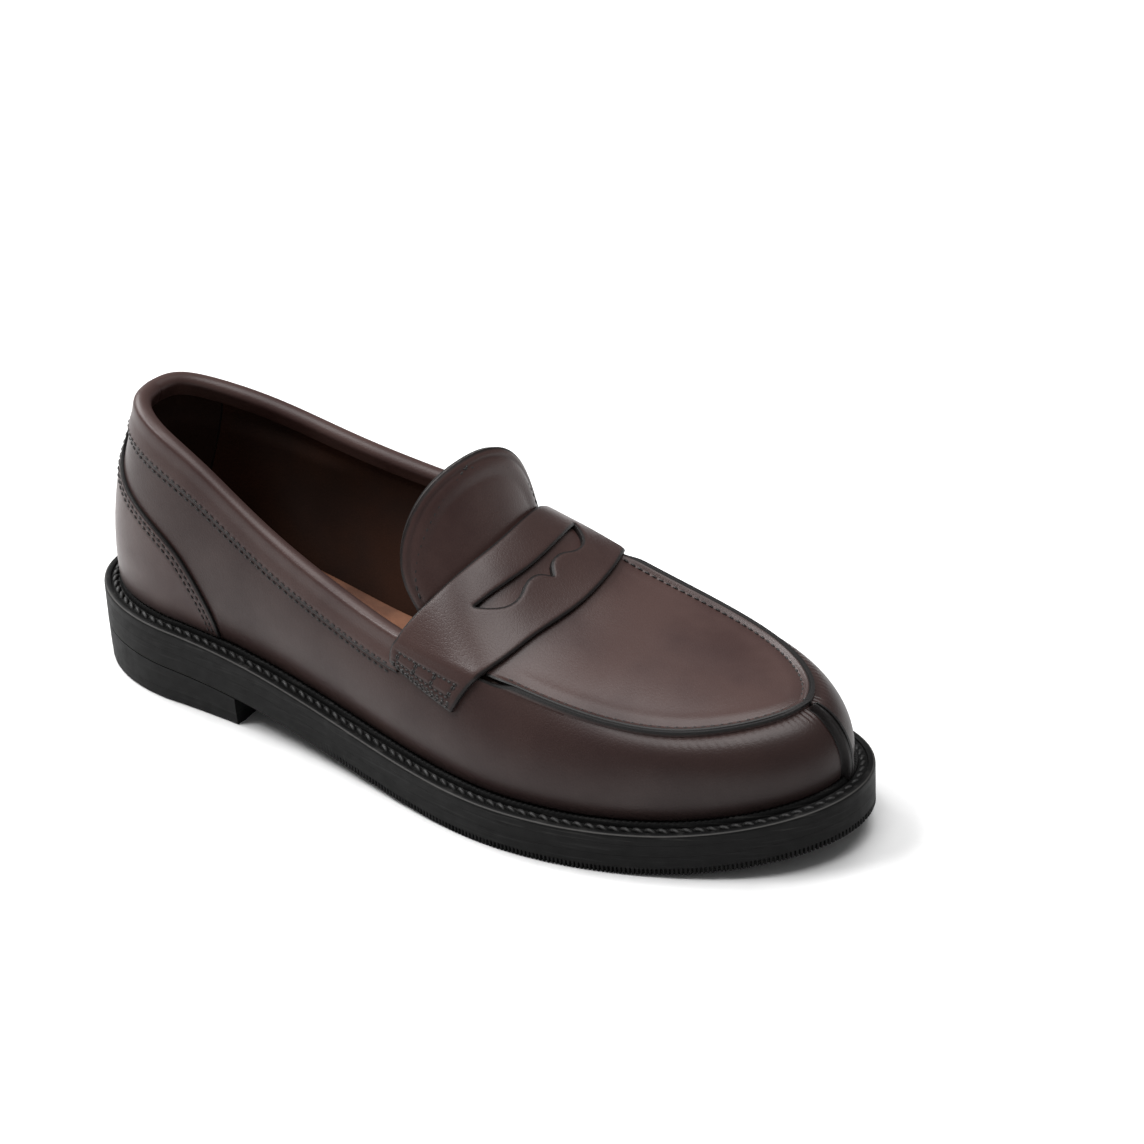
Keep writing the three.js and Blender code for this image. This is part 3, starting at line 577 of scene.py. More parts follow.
def make_wall(side):
    s = np.concatenate([np.linspace(0.002, 0.6, 120), np.linspace(0.6, 0.965, 110)[1:],
                        np.linspace(0.965, SEAM_END, 36)[1:]])[:, None]
    lip_steps = [1.12, 1.25, 1.4, 1.6, 1.8, 2]
    v = np.concatenate([np.linspace(-1, 0, 6), np.linspace(0, 1, 44)[1:], lip_steps])[None, :]
    points, normals = wall_frame(side, s, v)
    seam = wall(LATERAL, np.ones(1), v)[..., 1]
    off_seam = np.abs(points[..., 1] - seam)
    front = smooth(0.9, 0.96, s)
    spine = mix(0.8, 1.5, smooth(0.95, 0.6, v))
    trench = 0.5 * np.exp(-((off_seam - spine - 0.75) / 0.45) ** 2)
    ridge = RIDGE_HEIGHT * smooth(spine + 0.45, spine - 0.35, off_seam) - trench
    pucker = 0.10 * np.sin(s * 640) * smooth(0.72, 0.84, s) * smooth(0.72, 0.95, v) * smooth(1.5, 1.1, v)
    height = points[..., 2] - sole_top(points[..., 0])
    points = lifted(points, normals, ridge * front * smooth(1.0, 0.93, v) + pucker)
    # The ink covers the toe seam's inked ridge and runs on into the trench beside it as painted shade; the
    # lip's top edge is real ink.
    ink = np.maximum(smooth(spine + 1.2, spine + 0.7, off_seam) * front * smooth(1.0, 0.95, v),
                     smooth(1.25, 1.6, v) * smooth(.60, .64, s))
    toe = 0.48 + 0.34 * smooth(0.60, 0.85, s) * smooth(1.0, 0.7, v)
    # foot darkens the wall towards the welt.
    foot = 0.95 * np.exp(-np.maximum(height - 1.0, 0) / 1.8)
    name = "lateral" if side == LATERAL else "medial"
    piece = leather(f"wall_{name}", points, lifted(points, normals, -UPPER_LEATHER), soft=0.55,
                    burnish=toe, shade_and_ink=np.maximum(ink, foot))
    finish_piece(piece, CALF, [f"side_wall_{name}"])


# ------------------------------------------------------------------ apron
APRON_EDGE = 1.58
APRON_REAR = 0.566
STITCH_IN = 1.9


def apron_edge_line(side, s, inset=APRON_EDGE):
    """The top edge moved inwards in plan."""
    step = 1.5e-3
    before = TOP_EDGE[side](np.clip(s - step, 0, 1))
    after = TOP_EDGE[side](np.clip(s + step, 0, 1))
    along = unit((after - before) * [1, 1, 0])
    outward = np.stack([along[..., 1], -along[..., 0], np.zeros_like(along[..., 0])], -1) * -side
    return TOP_EDGE[side](s) - outward * inset


def apron_surface(s, w, inset=APRON_EDGE):
    """Outside of the apron cut to an inset from the seam, with w from -1 to 1 between its edges."""
    s, w = np.broadcast_arrays(s, w)
    left, right = apron_edge_line(LATERAL, s, inset), apron_edge_line(MEDIAL, s, inset)
    point = mix(left, right, ((w + 1) / 2)[..., None])
    half = np.abs(right[..., 1] - left[..., 1]) / 2
    share = np.abs(w) * half / (half + inset)
    point[..., 2] += crown(s) * (1 - share ** CROWN_POWER)
    return point


def make_apron():
    s = np.concatenate([np.linspace(APRON_REAR, 0.9, 80), 1 - np.linspace(1, 0.02, 46)[1:] ** 1.6 * 0.1])
    s = s[:, None]
    w = np.sin(np.linspace(-1, 1, 85) * math.pi / 2)[None, :]
    points = apron_surface(s, w)
    normals = grid_normals(points)
    distance = edge_distance(points, np.concatenate([rims_of(points[:, 0]), rims_of(points[:, -1])]))
    roll = 1.45 * smooth(2.3, 0.5, distance) + 0.2 * bead(distance, 5.0, 1.8)
    groove = -0.12 * bead(distance, STITCH_IN, 0.5)
    points = lifted(points, normals, (roll + groove) * smooth(0.60, 0.64, s))
    # The dark mark along the apron's edge is painted shade of the groove beside the raised seam.
    piece = leather("apron_top", points, lifted(points, normals, -UPPER_LEATHER), soft=0.5,
                    burnish=0.25 * smooth(0.8, 0.98, s), shade_and_ink=0.25 * bead(distance, 0, 2.2))
    finish_piece(piece, CALF, ["apron"])


def rims_of(line):
    """Points along a line, four between each pair."""
    return np.concatenate([mix(line[:-1], line[1:], share) for share in (0, 0.25, 0.5, 0.75)])


# ------------------------------------------------------------------ saddle strap
STRAP_LIFT = 0.2
BOX_LEVELS = (1.12, 1.225)
BOX_WALLS = (0.12, 0.37, 0.63, 0.88)
SLOT_MIDDLE = 0.12
SLOT_REACH = 0.72
SLOT_REAR = 0.40
SLOT_LIP = [(0, .60), (.012, .592), (.04, .555), (.07, .522), (.11, .498), (.16, .487), (.22, .490),
            (.28, .512), (.34, .548), (.40, .578), (.46, .594), (.52, .594), (.57, .578), (.62, .543),
            (.67, .488), (.70, .443), (.72, .405)]


def slot_front(q):
    """Front lip of the slot: two bays with a notch between them."""
    reach = np.minimum(np.abs(q - SLOT_MIDDLE), SLOT_REACH)
    return np.interp(reach, [p[0] for p in SLOT_LIP], [p[1] for p in SLOT_LIP])


def strap_frame(b, q):
    """Under side and normals of the strap."""
    step_b, step_q = 4e-3, 4e-3
    b, q = np.broadcast_arrays(b, q)
    along = strap(b, q + step_q) - strap(b, q - step_q)
    across = strap(b + step_b, q) - strap(b - step_b, q)
    return strap(b, q), unit(np.cross(across, along))


def make_strap():
    lip_steps = np.array([p[0] for p in SLOT_LIP] + [0.006])
    q = np.concatenate([np.linspace(-1.3, 1.3, 170), SLOT_MIDDLE + lip_steps, SLOT_MIDDLE - lip_steps,
                        [-1.295, -1.285, 1.285, 1.295]])
    q = np.unique(q)[None, :]
    rear = np.sort(np.concatenate([np.linspace(0, 1, 17), [0.012, 0.03, 0.97, 0.988]]))
    front = np.sort(np.concatenate([np.linspace(0, 1, 25), [0.008, 0.02, 0.98, 0.992]]))
    lip = slot_front(q)
    b = np.concatenate([rear[:, None] * SLOT_REAR * np.ones_like(q), mix(lip, 1, front[:, None])])
    solid = np.ones((b.shape[0] - 1, q.shape[1] - 1), bool)
    solid[len(rear) - 1, np.abs((q[0, :-1] + q[0, 1:]) / 2 - SLOT_MIDDLE) < SLOT_REACH] = False
    under, normals = strap_frame(b, q * np.ones_like(b))
    outer = lifted(under, normals, STRAP_LIFT + STRAP_LEATHER)
    inner = lifted(under, normals, STRAP_LIFT)
    rims = grid_rims(outer, solid)
    distance = edge_distance(outer, rims)
    dip = -0.5 * np.exp(-(distance / 0.55) ** 1.5)
    end = np.abs(q) * np.ones_like(b)
    box = np.zeros_like(b)
    for level in BOX_LEVELS:
        box += bead(end, level, 0.008) * smooth(0.05, 0.1, b) * smooth(0.95, 0.9, b)
    above, below = BOX_LEVELS
    between = smooth(above - .01, above, end) * smooth(below + .01, below, end)
    for wall_b in BOX_WALLS:
        box += bead(b, wall_b, 0.018) * between
    press = smooth(1.22, 1.27, end)
    outer = lifted(outer, normals, dip - 0.3 * np.minimum(box, 1) - 0.15 * press)
    # The dark marks along the stitched boxes and over the pressed ends are painted shade in those grooves.
    piece = leather("strap", outer, inner, keep=solid, soft=0.35, rims=rims,
                    burnish=0.28 + 0.15 * smooth(1.0, 1.2, end),
                    shade_and_ink=0.55 * np.maximum(np.minimum(box, 1), 0.6 * press))
    finish_piece(piece, CALF, ["saddle_strap"])


# ------------------------------------------------------------------ tongue
TONGUE_STITCH_IN = 2.6


def tongue_surface(b, w):
    """Top face of the tongue at height b and place w across, without its outline."""
    b, w = np.broadcast_arrays(b, w)
    root = apron(strap_rear(w) + np.maximum(-b, 0) * 0.1, w)
    up = np.maximum(b, 0)
    return root + stack(-(TONGUE_BACK - TONGUE_SWEEP * w) * up, 0, TONGUE_RISE * up * (1 + .08 * up))


def tongue_frame(b, k):
    b, k = np.broadcast_arrays(b, k)
    w = k * TONGUE_HALF * np.sqrt(np.maximum(0, 1 - np.maximum(b, 0) ** TONGUE_POWER))
    rise = tongue_surface(np.abs(b) + 0.01, w) - tongue_surface(np.maximum(np.abs(b) - 0.01, 0), w)
    across = tongue_surface(b, w + 0.01) - tongue_surface(b, w - 0.01)
    return tongue_surface(b, w), unit(np.cross(across, rise))


def make_tongue():
    b = np.concatenate([[-.12, -.06, 0], np.sin(np.linspace(0, 1, 44)[1:] * math.pi / 2)])
    b[-1] = 0.9997
    b = b[:, None]
    k = np.sin(np.linspace(-1, 1, 71) * math.pi / 2)[None, :]
    points, normals = tongue_frame(b, k)
    border = np.concatenate([points[2:, 0], points[2:, -1][::-1]])
    distance = edge_distance(points, rims_of(border))
    roll = -0.55 * np.exp(-(distance / 0.8) ** 1.5) + 0.35 * bead(distance, 5.0, 2.2)
    groove = -0.2 * bead(distance, TONGUE_STITCH_IN, 0.5) - 0.1 * bead(distance, 8.5, 0.9)
    outer = lifted(points, normals, (roll + groove) * smooth(-0.02, 0.05, b))
    # The dark mark along the stitch groove is painted shade.
    piece = leather("tongue_top", outer, lifted(points, normals, -UPPER_LEATHER), body=None, soft=0.4,
                    rims=rims_of(border), shade_and_ink=0.3 * bead(distance, TONGUE_STITCH_IN, 0.7))
    hinge_tongue(piece)
    finish_piece(piece, CALF, ["tongue"])
    deep = UPPER_LEATHER + LAYER_GAP * 0.3
    back = leather("tongue_back", lifted(points, normals, -deep),
                   lifted(points, normals, -deep - LINING_LEATHER), body=None, soft=0.25)
    hinge_tongue(back)
    finish_piece(back, LINING, ["tongue_lining"])
    turn = math.pi * np.linspace(0.02, 0.98, 160)
    edge_points, edge_normals = tongue_frame(np.sin(turn) ** 0.75 * 0.9997, -np.cos(turn))
    seam = lifted(inward_offset(edge_points, edge_normals, TONGUE_STITCH_IN), edge_normals, -0.1)
    row = stitches("tongue_stitches", [(seam, edge_normals)], 2.5, 2.0, 0.32, body=None)
    hinge_tongue(row)
    finish_piece(row, THREAD, ["tongue_thread"])


def inward_offset(path, normals, inset):
    """Path moved sideways in its surface, to the side that the cross product of run and normal gives."""
    run = unit(np.gradient(path, axis=0))
    return path - unit(np.cross(normals, run)) * inset


def hinge_tongue(piece):
    """Bakes the transform of a tongue piece into its mesh; the hinge points just behind the strap are
    worked out but not used.
    """
    low = place(tongue_surface(0.0, 0.0))
    high = place(tongue_surface(0.4, 0.0))
    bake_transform(piece)


# ------------------------------------------------------------------ heel counter and collar binding
counter_reach = spline([(0, .306), (.15, .301), (.3, .286), (.42, .264), (.5, .236), (.56, .19), (.62, .12),
                        (.68, .072), (.75, .05), (.83, .042)])
UPPER_HEIGHT = 93.0
HEEL_HEIGHT = UPPER_HEIGHT - float(welt_top(0))
COUNTER_TOP = 1 - (BINDING_WIDTH - 1.5) / HEEL_HEIGHT
COUNTER_LEATHER = 1.2
COUNTER_ROWS = (1.9, 3.6)
CLOSE = 0.12


def signed_wall(place_s, v):
    """Wall points and normals where negative ribs are the lateral side and positive the medial."""
    place_s, v = np.broadcast_arrays(place_s, v)
    s = np.abs(place_s)
    lateral, lateral_out = wall(LATERAL, s, v), wall_normal(LATERAL, s, np.clip(v, 0, 1))
    medial, medial_out = wall(MEDIAL, s, v), wall_normal(MEDIAL, s, np.clip(v, 0, 1))
    choose = (place_s <= 0)[..., None]
    return np.where(choose, lateral, medial), np.where(choose, lateral_out, medial_out)


def make_counter():
    """Outer patch round the heel; gives back the lines of its two rows of stitching."""
    k = np.sin(np.linspace(-1, 1, 121) * math.pi / 2)[:, None]
    v = np.linspace(0.004, COUNTER_TOP, 60)[None, :]
    points, normals = signed_wall(k * counter_reach(v), v)
    outer = lifted(points, normals, CLOSE + COUNTER_LEATHER)
    border = rims_of(np.concatenate([outer[0], outer[-1][::-1]]))
    distance = edge_distance(outer, border)
    groove = -0.16 * sum(bead(distance, inset, 0.5) for inset in COUNTER_ROWS)
    outer = lifted(outer, normals, groove - 0.35 * np.exp(-(distance / 0.6) ** 1.5))
    # The dark mark along the first row's groove is painted shade; the patch also darkens towards the welt
    # at its foot.
    piece = leather("counter_patch", outer, lifted(points, normals, CLOSE), soft=0.35, rims=border,
                    shade_and_ink=np.maximum(np.exp(-v / 0.04), 0.4 * bead(distance, COUNTER_ROWS[0], 0.6)))
    finish_piece(piece, CALF, ["heel_counter"])
    rows = []
    heel_line = points[len(k) // 2][2:-2]
    for inset in COUNTER_ROWS:
        for end in (0, -1):
            edge_points, edge_normals = points[end][2:-2], normals[end][2:-2]
            aside = unit(np.cross(edge_normals, unit(np.gradient(edge_points, axis=0))))
            sign = np.sign(((heel_line - edge_points) * aside).sum(-1))[:, None]
            line = edge_points + aside * sign * inset
            rows.append((lifted(line, edge_normals, CLOSE + COUNTER_LEATHER - 0.12), edge_normals))
    return rows


BINDING_RIB = 0.505
BINDING_LEATHER = 0.9


def binding_section(side_s, row, leather_thickness, raised):
    """Face of the collar binding: row runs from its lower edge outside, over the top, to the inside."""
    top, out = signed_wall(side_s, 1.0)
    height = top[..., 2] - sole_top(np.abs(side_s) * SOLE_LENGTH)
    below, _ = signed_wall(side_s, 1 - 2.0 / height)
    up = unit(top - below)
    outside = CLOSE + leather_thickness
    inside = UPPER_LEATHER + LINING_LEATHER + 2 * LAYER_GAP + leather_thickness
    half = (outside + inside) / 2
    if row < 1:
        point, normal = signed_wall(side_s, 1 - BINDING_WIDTH * (1 - row) / height)
        swell = 0.5 * smooth(0.55, 1, row)
        return lifted(point, normal, outside + swell), normal
    if row <= 2:
        turn = (row - 1) * math.pi
        centre = lifted(top, out, (outside - inside) / 2)
        normal = unit(out * math.cos(turn) + up * math.sin(turn))
        spread = half + 0.5 * math.cos(turn) * (math.cos(turn) > 0)
        height_over = raised + leather_thickness
        return centre + out * spread * math.cos(turn) + up * height_over * math.sin(turn), normal
    point, normal = signed_wall(side_s, 1 - 4.2 * (row - 2) / height)
    return lifted(point, normal, -inside), -normal


def make_binding():
    fine = np.concatenate([np.linspace(-BINDING_RIB, 0, 120), np.linspace(0, BINDING_RIB, 120)[1:]])
    rows = np.concatenate([np.linspace(0, 1, 18)[:-1], np.linspace(1, 2, 19), np.linspace(2, 3, 7)[1:]])
    sections = [binding_section(fine, row, BINDING_LEATHER, 1.3) for row in rows]
    outer, normals = (np.stack(part, 1) for part in zip(*sections))
    inner = np.stack([binding_section(fine, row, 0.02, 1.1)[0] for row in rows], 1)
    border = rims_of(outer[:, 0])
    distance = edge_distance(outer, border)
    groove = -0.15 * bead(distance, 1.2, 0.45) - 0.3 * np.exp(-(distance / 0.5) ** 1.5)
    outer = lifted(outer, normals, groove)
    piece = leather("collar", outer, inner, soft=0.25, rims=border,
                    burnish=0.35 * np.exp(-(rows[None, :] - 1.5) ** 2 / 0.02),
                    shade_and_ink=0.35 * bead(distance, 0, 0.7))
    finish_piece(piece, CALF, ["collar_binding"])


def line_below_top(drop, lift, reach):
    """Path along both walls at a drop below the top line, from the lateral end round the heel."""
    along = np.concatenate([np.linspace(-reach, 0, 200), np.linspace(0, reach, 200)[1:]])
    top, _ = signed_wall(along, 1.0)
    height = top[..., 2] - sole_top(np.abs(along) * SOLE_LENGTH)
    points, normals = signed_wall(along, 1 - drop / height)
    return lifted(points, normals, lift), normals


# ------------------------------------------------------------------ linings
GRIP_RIB, QUARTER_RIB, VAMP_RIB = 0.16, 0.553, 0.558


def lining_depth(s, v):
    """How deep the lining lies: it steps in over the stiffener at the heel and the puff at the toe."""
    counter = smooth(0.36, 0.30, s) * smooth(0.86, 0.74, v)
    puff = smooth(0.75, 0.80, s)
    return UPPER_LEATHER + LAYER_GAP + (STIFFENER + LAYER_GAP) * np.maximum(counter, puff)


def lining_piece(name, node, ribs, material):
    """Lining along signed ribs, from the insole up to the top line, a little wavy on its face."""
    along = ribs[:, None]
    v = np.linspace(0.02, 0.995, 48)[None, :]
    points, normals = signed_wall(along, v)
    depth = lining_depth(np.abs(along), v)
    seat = 0.12 * np.sin(along * 70 + v * 5) * np.sin(v * 11 + along * 31)
    outer = lifted(points, normals, -depth)
    drop = (1 - v) * HEEL_HEIGHT
    groove = 0.14 * bead(drop, 10, 0.6)
    inner = lifted(points, normals, -(depth + LINING_LEATHER + seat - groove))
    piece = leather(name, inner, outer, soft=0.2)
    finish_piece(piece, material, [node])


def make_linings():
    lining_piece("heel_grip", "heel_grip_lining", np.linspace(-GRIP_RIB, GRIP_RIB, 90), GRIP)
    butt = GRIP_RIB + 0.0006
    for name, ribs in (("quarter_lining_lateral", (-QUARTER_RIB, -butt)),
                       ("quarter_lining_medial", (butt, QUARTER_RIB))):
        lining_piece(name, name, np.linspace(*ribs, 120), LINING)
    s = np.linspace(VAMP_RIB, 0.998, 60)[:, None]
    v = np.linspace(0.02, 1, 18)[None, :]
    w = np.linspace(-1, 1, 25)[None, 1:-1]
    skin = np.concatenate([wall(LATERAL, s, v), apron(s, w), wall(MEDIAL, s, v[:, ::-1])], 1)
    normals = grid_normals(skin)
    depth = lining_depth(s, 1.0) * np.ones(skin.shape[:2])
    outer, inner = lifted(skin, normals, -depth), lifted(skin, normals, -depth - LINING_LEATHER)
    piece = leather("vamp_lining", inner, outer, soft=0)
    finish_piece(piece, LINING, ["vamp_lining"])


# ------------------------------------------------------------------ stitching rows
def sew(name, node, material, rows, pitch, length, radius, slant=0.0):
    finish_piece(stitches(name, rows, pitch, length, radius, slant=slant), material, [node])


def sew_collar(counter_rows):
    collar = [line_below_top(BINDING_WIDTH - 1.3, CLOSE + BINDING_LEATHER - 0.12, 0.495),
              line_below_top(BINDING_WIDTH + 1.4, 0.0, 0.495)]
    sew("collar_stitches", "collar_thread", THREAD, collar + counter_rows, 2.4, 1.9, 0.3)


def sew_apron():
    s = np.concatenate([np.linspace(0.622, 0.9, 140), 1 - np.linspace(1, 0.0, 60)[1:] ** 1.6 * 0.1])
    lines = []
    for side in (LATERAL, MEDIAL):
        edge_line = apron_edge_line(side, s, APRON_EDGE + STITCH_IN)
        full = apron_edge_line(side, s, APRON_EDGE)
        half = np.abs(apron_edge_line(MEDIAL, s)[:, 1] - apron_edge_line(LATERAL, s)[:, 1]) / 2
        share = np.clip(half - STITCH_IN, 0, None) / (half + APRON_EDGE)
        edge_line[:, 2] = full[:, 2] + crown(s) * (1 - share ** CROWN_POWER) - 0.02
        lines.append(edge_line)
    keep = lines[0][:, 1] < lines[1][:, 1]
    path = np.concatenate([lines[0][keep], lines[1][keep][::-1]])
    normals = np.tile([0.0, 0, 1], (len(path), 1))
    sew("apron_stitches", "apron_thread", THREAD, [(path, normals)], 2.6, 2.1, 0.33)


def sew_toe_seam():
    v = np.linspace(0.06, 0.9, 60)
    seam = []
    for side in (LATERAL, MEDIAL):
        points, out = wall_frame(side, np.full(60, 0.9975), v)
        seam.append((lifted(points, out, 0.75), out))
    sew("toe_seam_stitches", "toe_seam_thread", THREAD, seam, 2.5, 1.9, 0.3)


def sew_welt():
    t = np.append(around_sole(900), 0)
    x, y, _, _ = inset_outline(t, 3.75)
    path = stack(x, y, sole_top(x) - 0.45)
    rows = [(path, np.tile([0.0, 0, 1], (len(t), 1)))]
    sew("welt_stitches", "welt_thread", WAXED_THREAD, rows, 3.6, 4.3, 0.72, slant=0.42)


def strap_row(b, q):
    """Line of stitching on top of the strap."""
    points, normals = strap_frame(b, q)
    return lifted(points, normals, STRAP_LIFT + STRAP_LEATHER - 0.32), normals


def sew_strap_end(side, name):
    """Boxes at the strap's end: two long rows with cross rows between, and three rows below them."""
    rows = []
    for level, low, high in ((1.118, .1, .9), (1.228, .1, .9), (1.252, .05, .95), (1.268, .04, .96),
                             (1.284, .04, .96)):
        rows.append(strap_row(mix(low, high, np.linspace(0, 1, 60)), np.full(60, level) * side))
    for wall_b in BOX_WALLS:
        for shift in (-0.012, 0.012):
            rows.append(strap_row(np.full(20, wall_b + shift), np.linspace(*BOX_LEVELS, 20) * side))
    sew(f"strap_stitches_{name}", f"strap_thread_{name}", THREAD, rows, 2.0, 1.7, 0.34)


# ------------------------------------------------------------------ finishes
def node_of(tree, kind, inputs=None, **settings):
    """Adds a node; inputs is a dict of socket name or number to a value or another node's output."""
    node = tree.nodes.new(kind)
    for key, value in settings.items():
        setattr(node, key, value)
    for key, value in (inputs or {}).items():
        if isinstance(value, bpy.types.NodeSocket):
            tree.links.new(value, node.inputs[key])
        else:
            node.inputs[key].default_value = value
    return node


def effect_group(name, inputs, outputs):
    """Empty node group with named sockets; returns the tree, its input node and its output node."""
    tree = bpy.data.node_groups.new(name, "ShaderNodeTree")
    for label, kind, value in inputs:
        socket = tree.interface.new_socket(label, in_out="INPUT", socket_type="NodeSocket" + kind)
        socket.default_value = value
    for label, kind in outputs:
        tree.interface.new_socket(label, in_out="OUTPUT", socket_type="NodeSocket" + kind)
    return tree, tree.nodes.new("NodeGroupInput"), tree.nodes.new("NodeGroupOutput")


def ramp(tree, factor, low, high):
    """0 below low, 1 above high, smooth between."""
    return node_of(tree, "ShaderNodeMapRange", {0: factor, 1: low, 2: high},
                   interpolation_type="SMOOTHSTEP", clamp=True).outputs[0]


def math_of(tree, operation, a, b=0.0):
    return node_of(tree, "ShaderNodeMath", {0: a, 1: b}, operation=operation).outputs[0]


def blend_colours(tree, factor, a, b):
    node = node_of(tree, "ShaderNodeMix", data_type="RGBA")
    for key, value in ((0, factor), (6, a), (7, b)):
        if isinstance(value, bpy.types.NodeSocket):
            tree.links.new(value, node.inputs[key])
        else:
            node.inputs[key].default_value = value
    return node.outputs[2]


def hide_grain():
    """Fine pores and creases of calf, with the slow colour drift of a hand-finished hide."""
    tree, given, out = effect_group("hide_grain",
                                    [("Pore Size", "Float", 900.0), ("Drift Size", "Float", 26.0)],
                                    [("Height", "Float"), ("Drift", "Float")])
    place_of = node_of(tree, "ShaderNodeTexCoord").outputs["Object"]
    pores = node_of(tree, "ShaderNodeTexVoronoi", {"Vector": place_of, "Scale": given.outputs["Pore Size"]},
                    feature="DISTANCE_TO_EDGE")
    fine = node_of(tree, "ShaderNodeTexNoise", {"Vector": place_of, "Scale": given.outputs["Pore Size"],
                                                "Detail": 3.0, "Roughness": 0.6})
    drift = node_of(tree, "ShaderNodeTexNoise", {"Vector": place_of, "Scale": given.outputs["Drift Size"],
                                                 "Detail": 4.0, "Roughness": 0.55})
    pit = ramp(tree, pores.outputs["Distance"], 0.0, 0.16)
    height = math_of(tree, "ADD", math_of(tree, "MULTIPLY", pit, 0.55),
                     math_of(tree, "MULTIPLY", fine.outputs[0], 0.45))
    tree.links.new(height, out.inputs["Height"])
    tree.links.new(ramp(tree, drift.outputs[0], 0.34, 0.68), out.inputs["Drift"])
    return tree


def ink_and_shade_marks():
    """Masks for the dyed cut edge, for burnished places and for painted shade in grooves and seams, read
    from the vertex marks.
    """
    tree, given, out = effect_group("ink_and_shade_marks", [("Ink Width", "Float", 0.09)],
                                    [("Ink", "Float"), ("Burnish", "Float"), ("Shade And Ink", "Float")])
    marks = node_of(tree, "ShaderNodeAttribute", attribute_name="marks")
    split = node_of(tree, "ShaderNodeSeparateColor", {0: marks.outputs["Color"]})
    place_of = node_of(tree, "ShaderNodeTexCoord").outputs["Object"]
    wobble = node_of(tree, "ShaderNodeTexNoise", {"Vector": place_of, "Scale": 420.0, "Detail": 2.0})
    shaken = math_of(tree, "ADD", split.outputs[0], math_of(tree, "MULTIPLY", wobble.outputs[0], 0.03))
    start = math_of(tree, "ADD", given.outputs["Ink Width"], 0.03)
    full = math_of(tree, "MULTIPLY", start, 0.45)
    ink = node_of(tree, "ShaderNodeMapRange", {0: shaken, 1: start, 2: full, 3: 0.0, 4: 1.0},
                  interpolation_type="SMOOTHSTEP")
    tree.links.new(ink.outputs[0], out.inputs["Ink"])
    tree.links.new(split.outputs[1], out.inputs["Burnish"])
    # The third output is the painted shade of grooves and seams, with ink on some edges.
    tree.links.new(split.outputs[2], out.inputs["Shade And Ink"])
    return tree


def moulded_rubber():
    """Scuffs that run with the sole edge, fine dust and a slightly uneven moulded face."""
    tree, given, out = effect_group("moulded_rubber", [("Scuff", "Float", 0.5)],
                                    [("Height", "Float"), ("Scuffs", "Float"), ("Mottle", "Float")])
    place_of = node_of(tree, "ShaderNodeTexCoord").outputs["Object"]
    stretched = node_of(tree, "ShaderNodeMapping", {0: place_of, 3: (60, 60, 1500)})
    lines = node_of(tree, "ShaderNodeTexNoise",
                    {"Vector": stretched.outputs[0], "Scale": 1.0, "Detail": 4.0, "Roughness": 0.65})
    spots = node_of(tree, "ShaderNodeTexNoise", {"Vector": place_of, "Scale": 260.0, "Detail": 5.0})
    scuffs = math_of(tree, "MULTIPLY", ramp(tree, lines.outputs[0], 0.52, 0.72), given.outputs["Scuff"])
    height = math_of(tree, "ADD", math_of(tree, "MULTIPLY", lines.outputs[0], 0.6),
                     math_of(tree, "MULTIPLY", spots.outputs[0], 0.4))
    tree.links.new(height, out.inputs["Height"])
    tree.links.new(scuffs, out.inputs["Scuffs"])
    tree.links.new(spots.outputs[0], out.inputs["Mottle"])
    return tree


def new_material(name):
    material = bpy.data.materials.new(name)
    material.use_nodes = True
    tree = material.node_tree
    return material, tree, tree.nodes["Principled BSDF"]


def colour(red, green, blue):
    """Linear colour from 0 to 255 display values."""
    def linear(value):
        value /= 255
        return value / 12.92 if value <= 0.04045 else ((value + 0.055) / 1.055) ** 2.4
    return linear(red), linear(green), linear(blue), 1.0


def bump(tree, shader, height, strength, distance):
    node = node_of(tree, "ShaderNodeBump", {"Height": height, "Strength": strength, "Distance": distance})
    tree.links.new(node.outputs[0], shader.inputs["Normal"])


def leather_finish(name, light, dark, ink, rough, pore=900.0, pore_depth=0.06, coat=0.0, ink_width=0.09,
                   drift_size=26.0, burnish_share=0.75):
    """Dyed and polished leather: colour drift, burnished toe, inked cut edges, painted shade in grooves and
    seams, and fine pores.
    """
    material, tree, shader = new_material(name)
    grain = node_of(tree, "ShaderNodeGroup", node_tree=GRAIN)
    grain.inputs["Pore Size"].default_value = pore
    grain.inputs["Drift Size"].default_value = drift_size
    edges = node_of(tree, "ShaderNodeGroup", node_tree=EDGES)
    edges.inputs["Ink Width"].default_value = ink_width
    base = blend_colours(tree, grain.outputs["Drift"], light, dark)
    burnt = math_of(tree, "MULTIPLY", edges.outputs["Burnish"], burnish_share)
    base = blend_colours(tree, burnt, base, ink)
    # Painted shade: grooves and seams go to the same near-black colour as the inked edges.
    shaded_and_inked = math_of(tree, "MULTIPLY", edges.outputs["Shade And Ink"], 0.92)
    covered = math_of(tree, "MAXIMUM", edges.outputs["Ink"], shaded_and_inked)
    base = blend_colours(tree, covered, base, colour(17, 15, 15))
    tree.links.new(base, shader.inputs["Base Color"])
    sheen = node_of(tree, "ShaderNodeMath", {0: grain.outputs["Drift"], 1: 0.12, 2: rough},
                    operation="MULTIPLY_ADD").outputs[0]
    rougher = math_of(tree, "ADD", sheen, math_of(tree, "MULTIPLY", covered, 0.12))
    tree.links.new(rougher, shader.inputs["Roughness"])
    shader.inputs["Coat Weight"].default_value = coat
    shader.inputs["Coat Roughness"].default_value = 0.28
    shader.inputs["Specular IOR Level"].default_value = 0.24
    bump(tree, shader, grain.outputs["Height"], 0.35, pore_depth * MM)
    return material


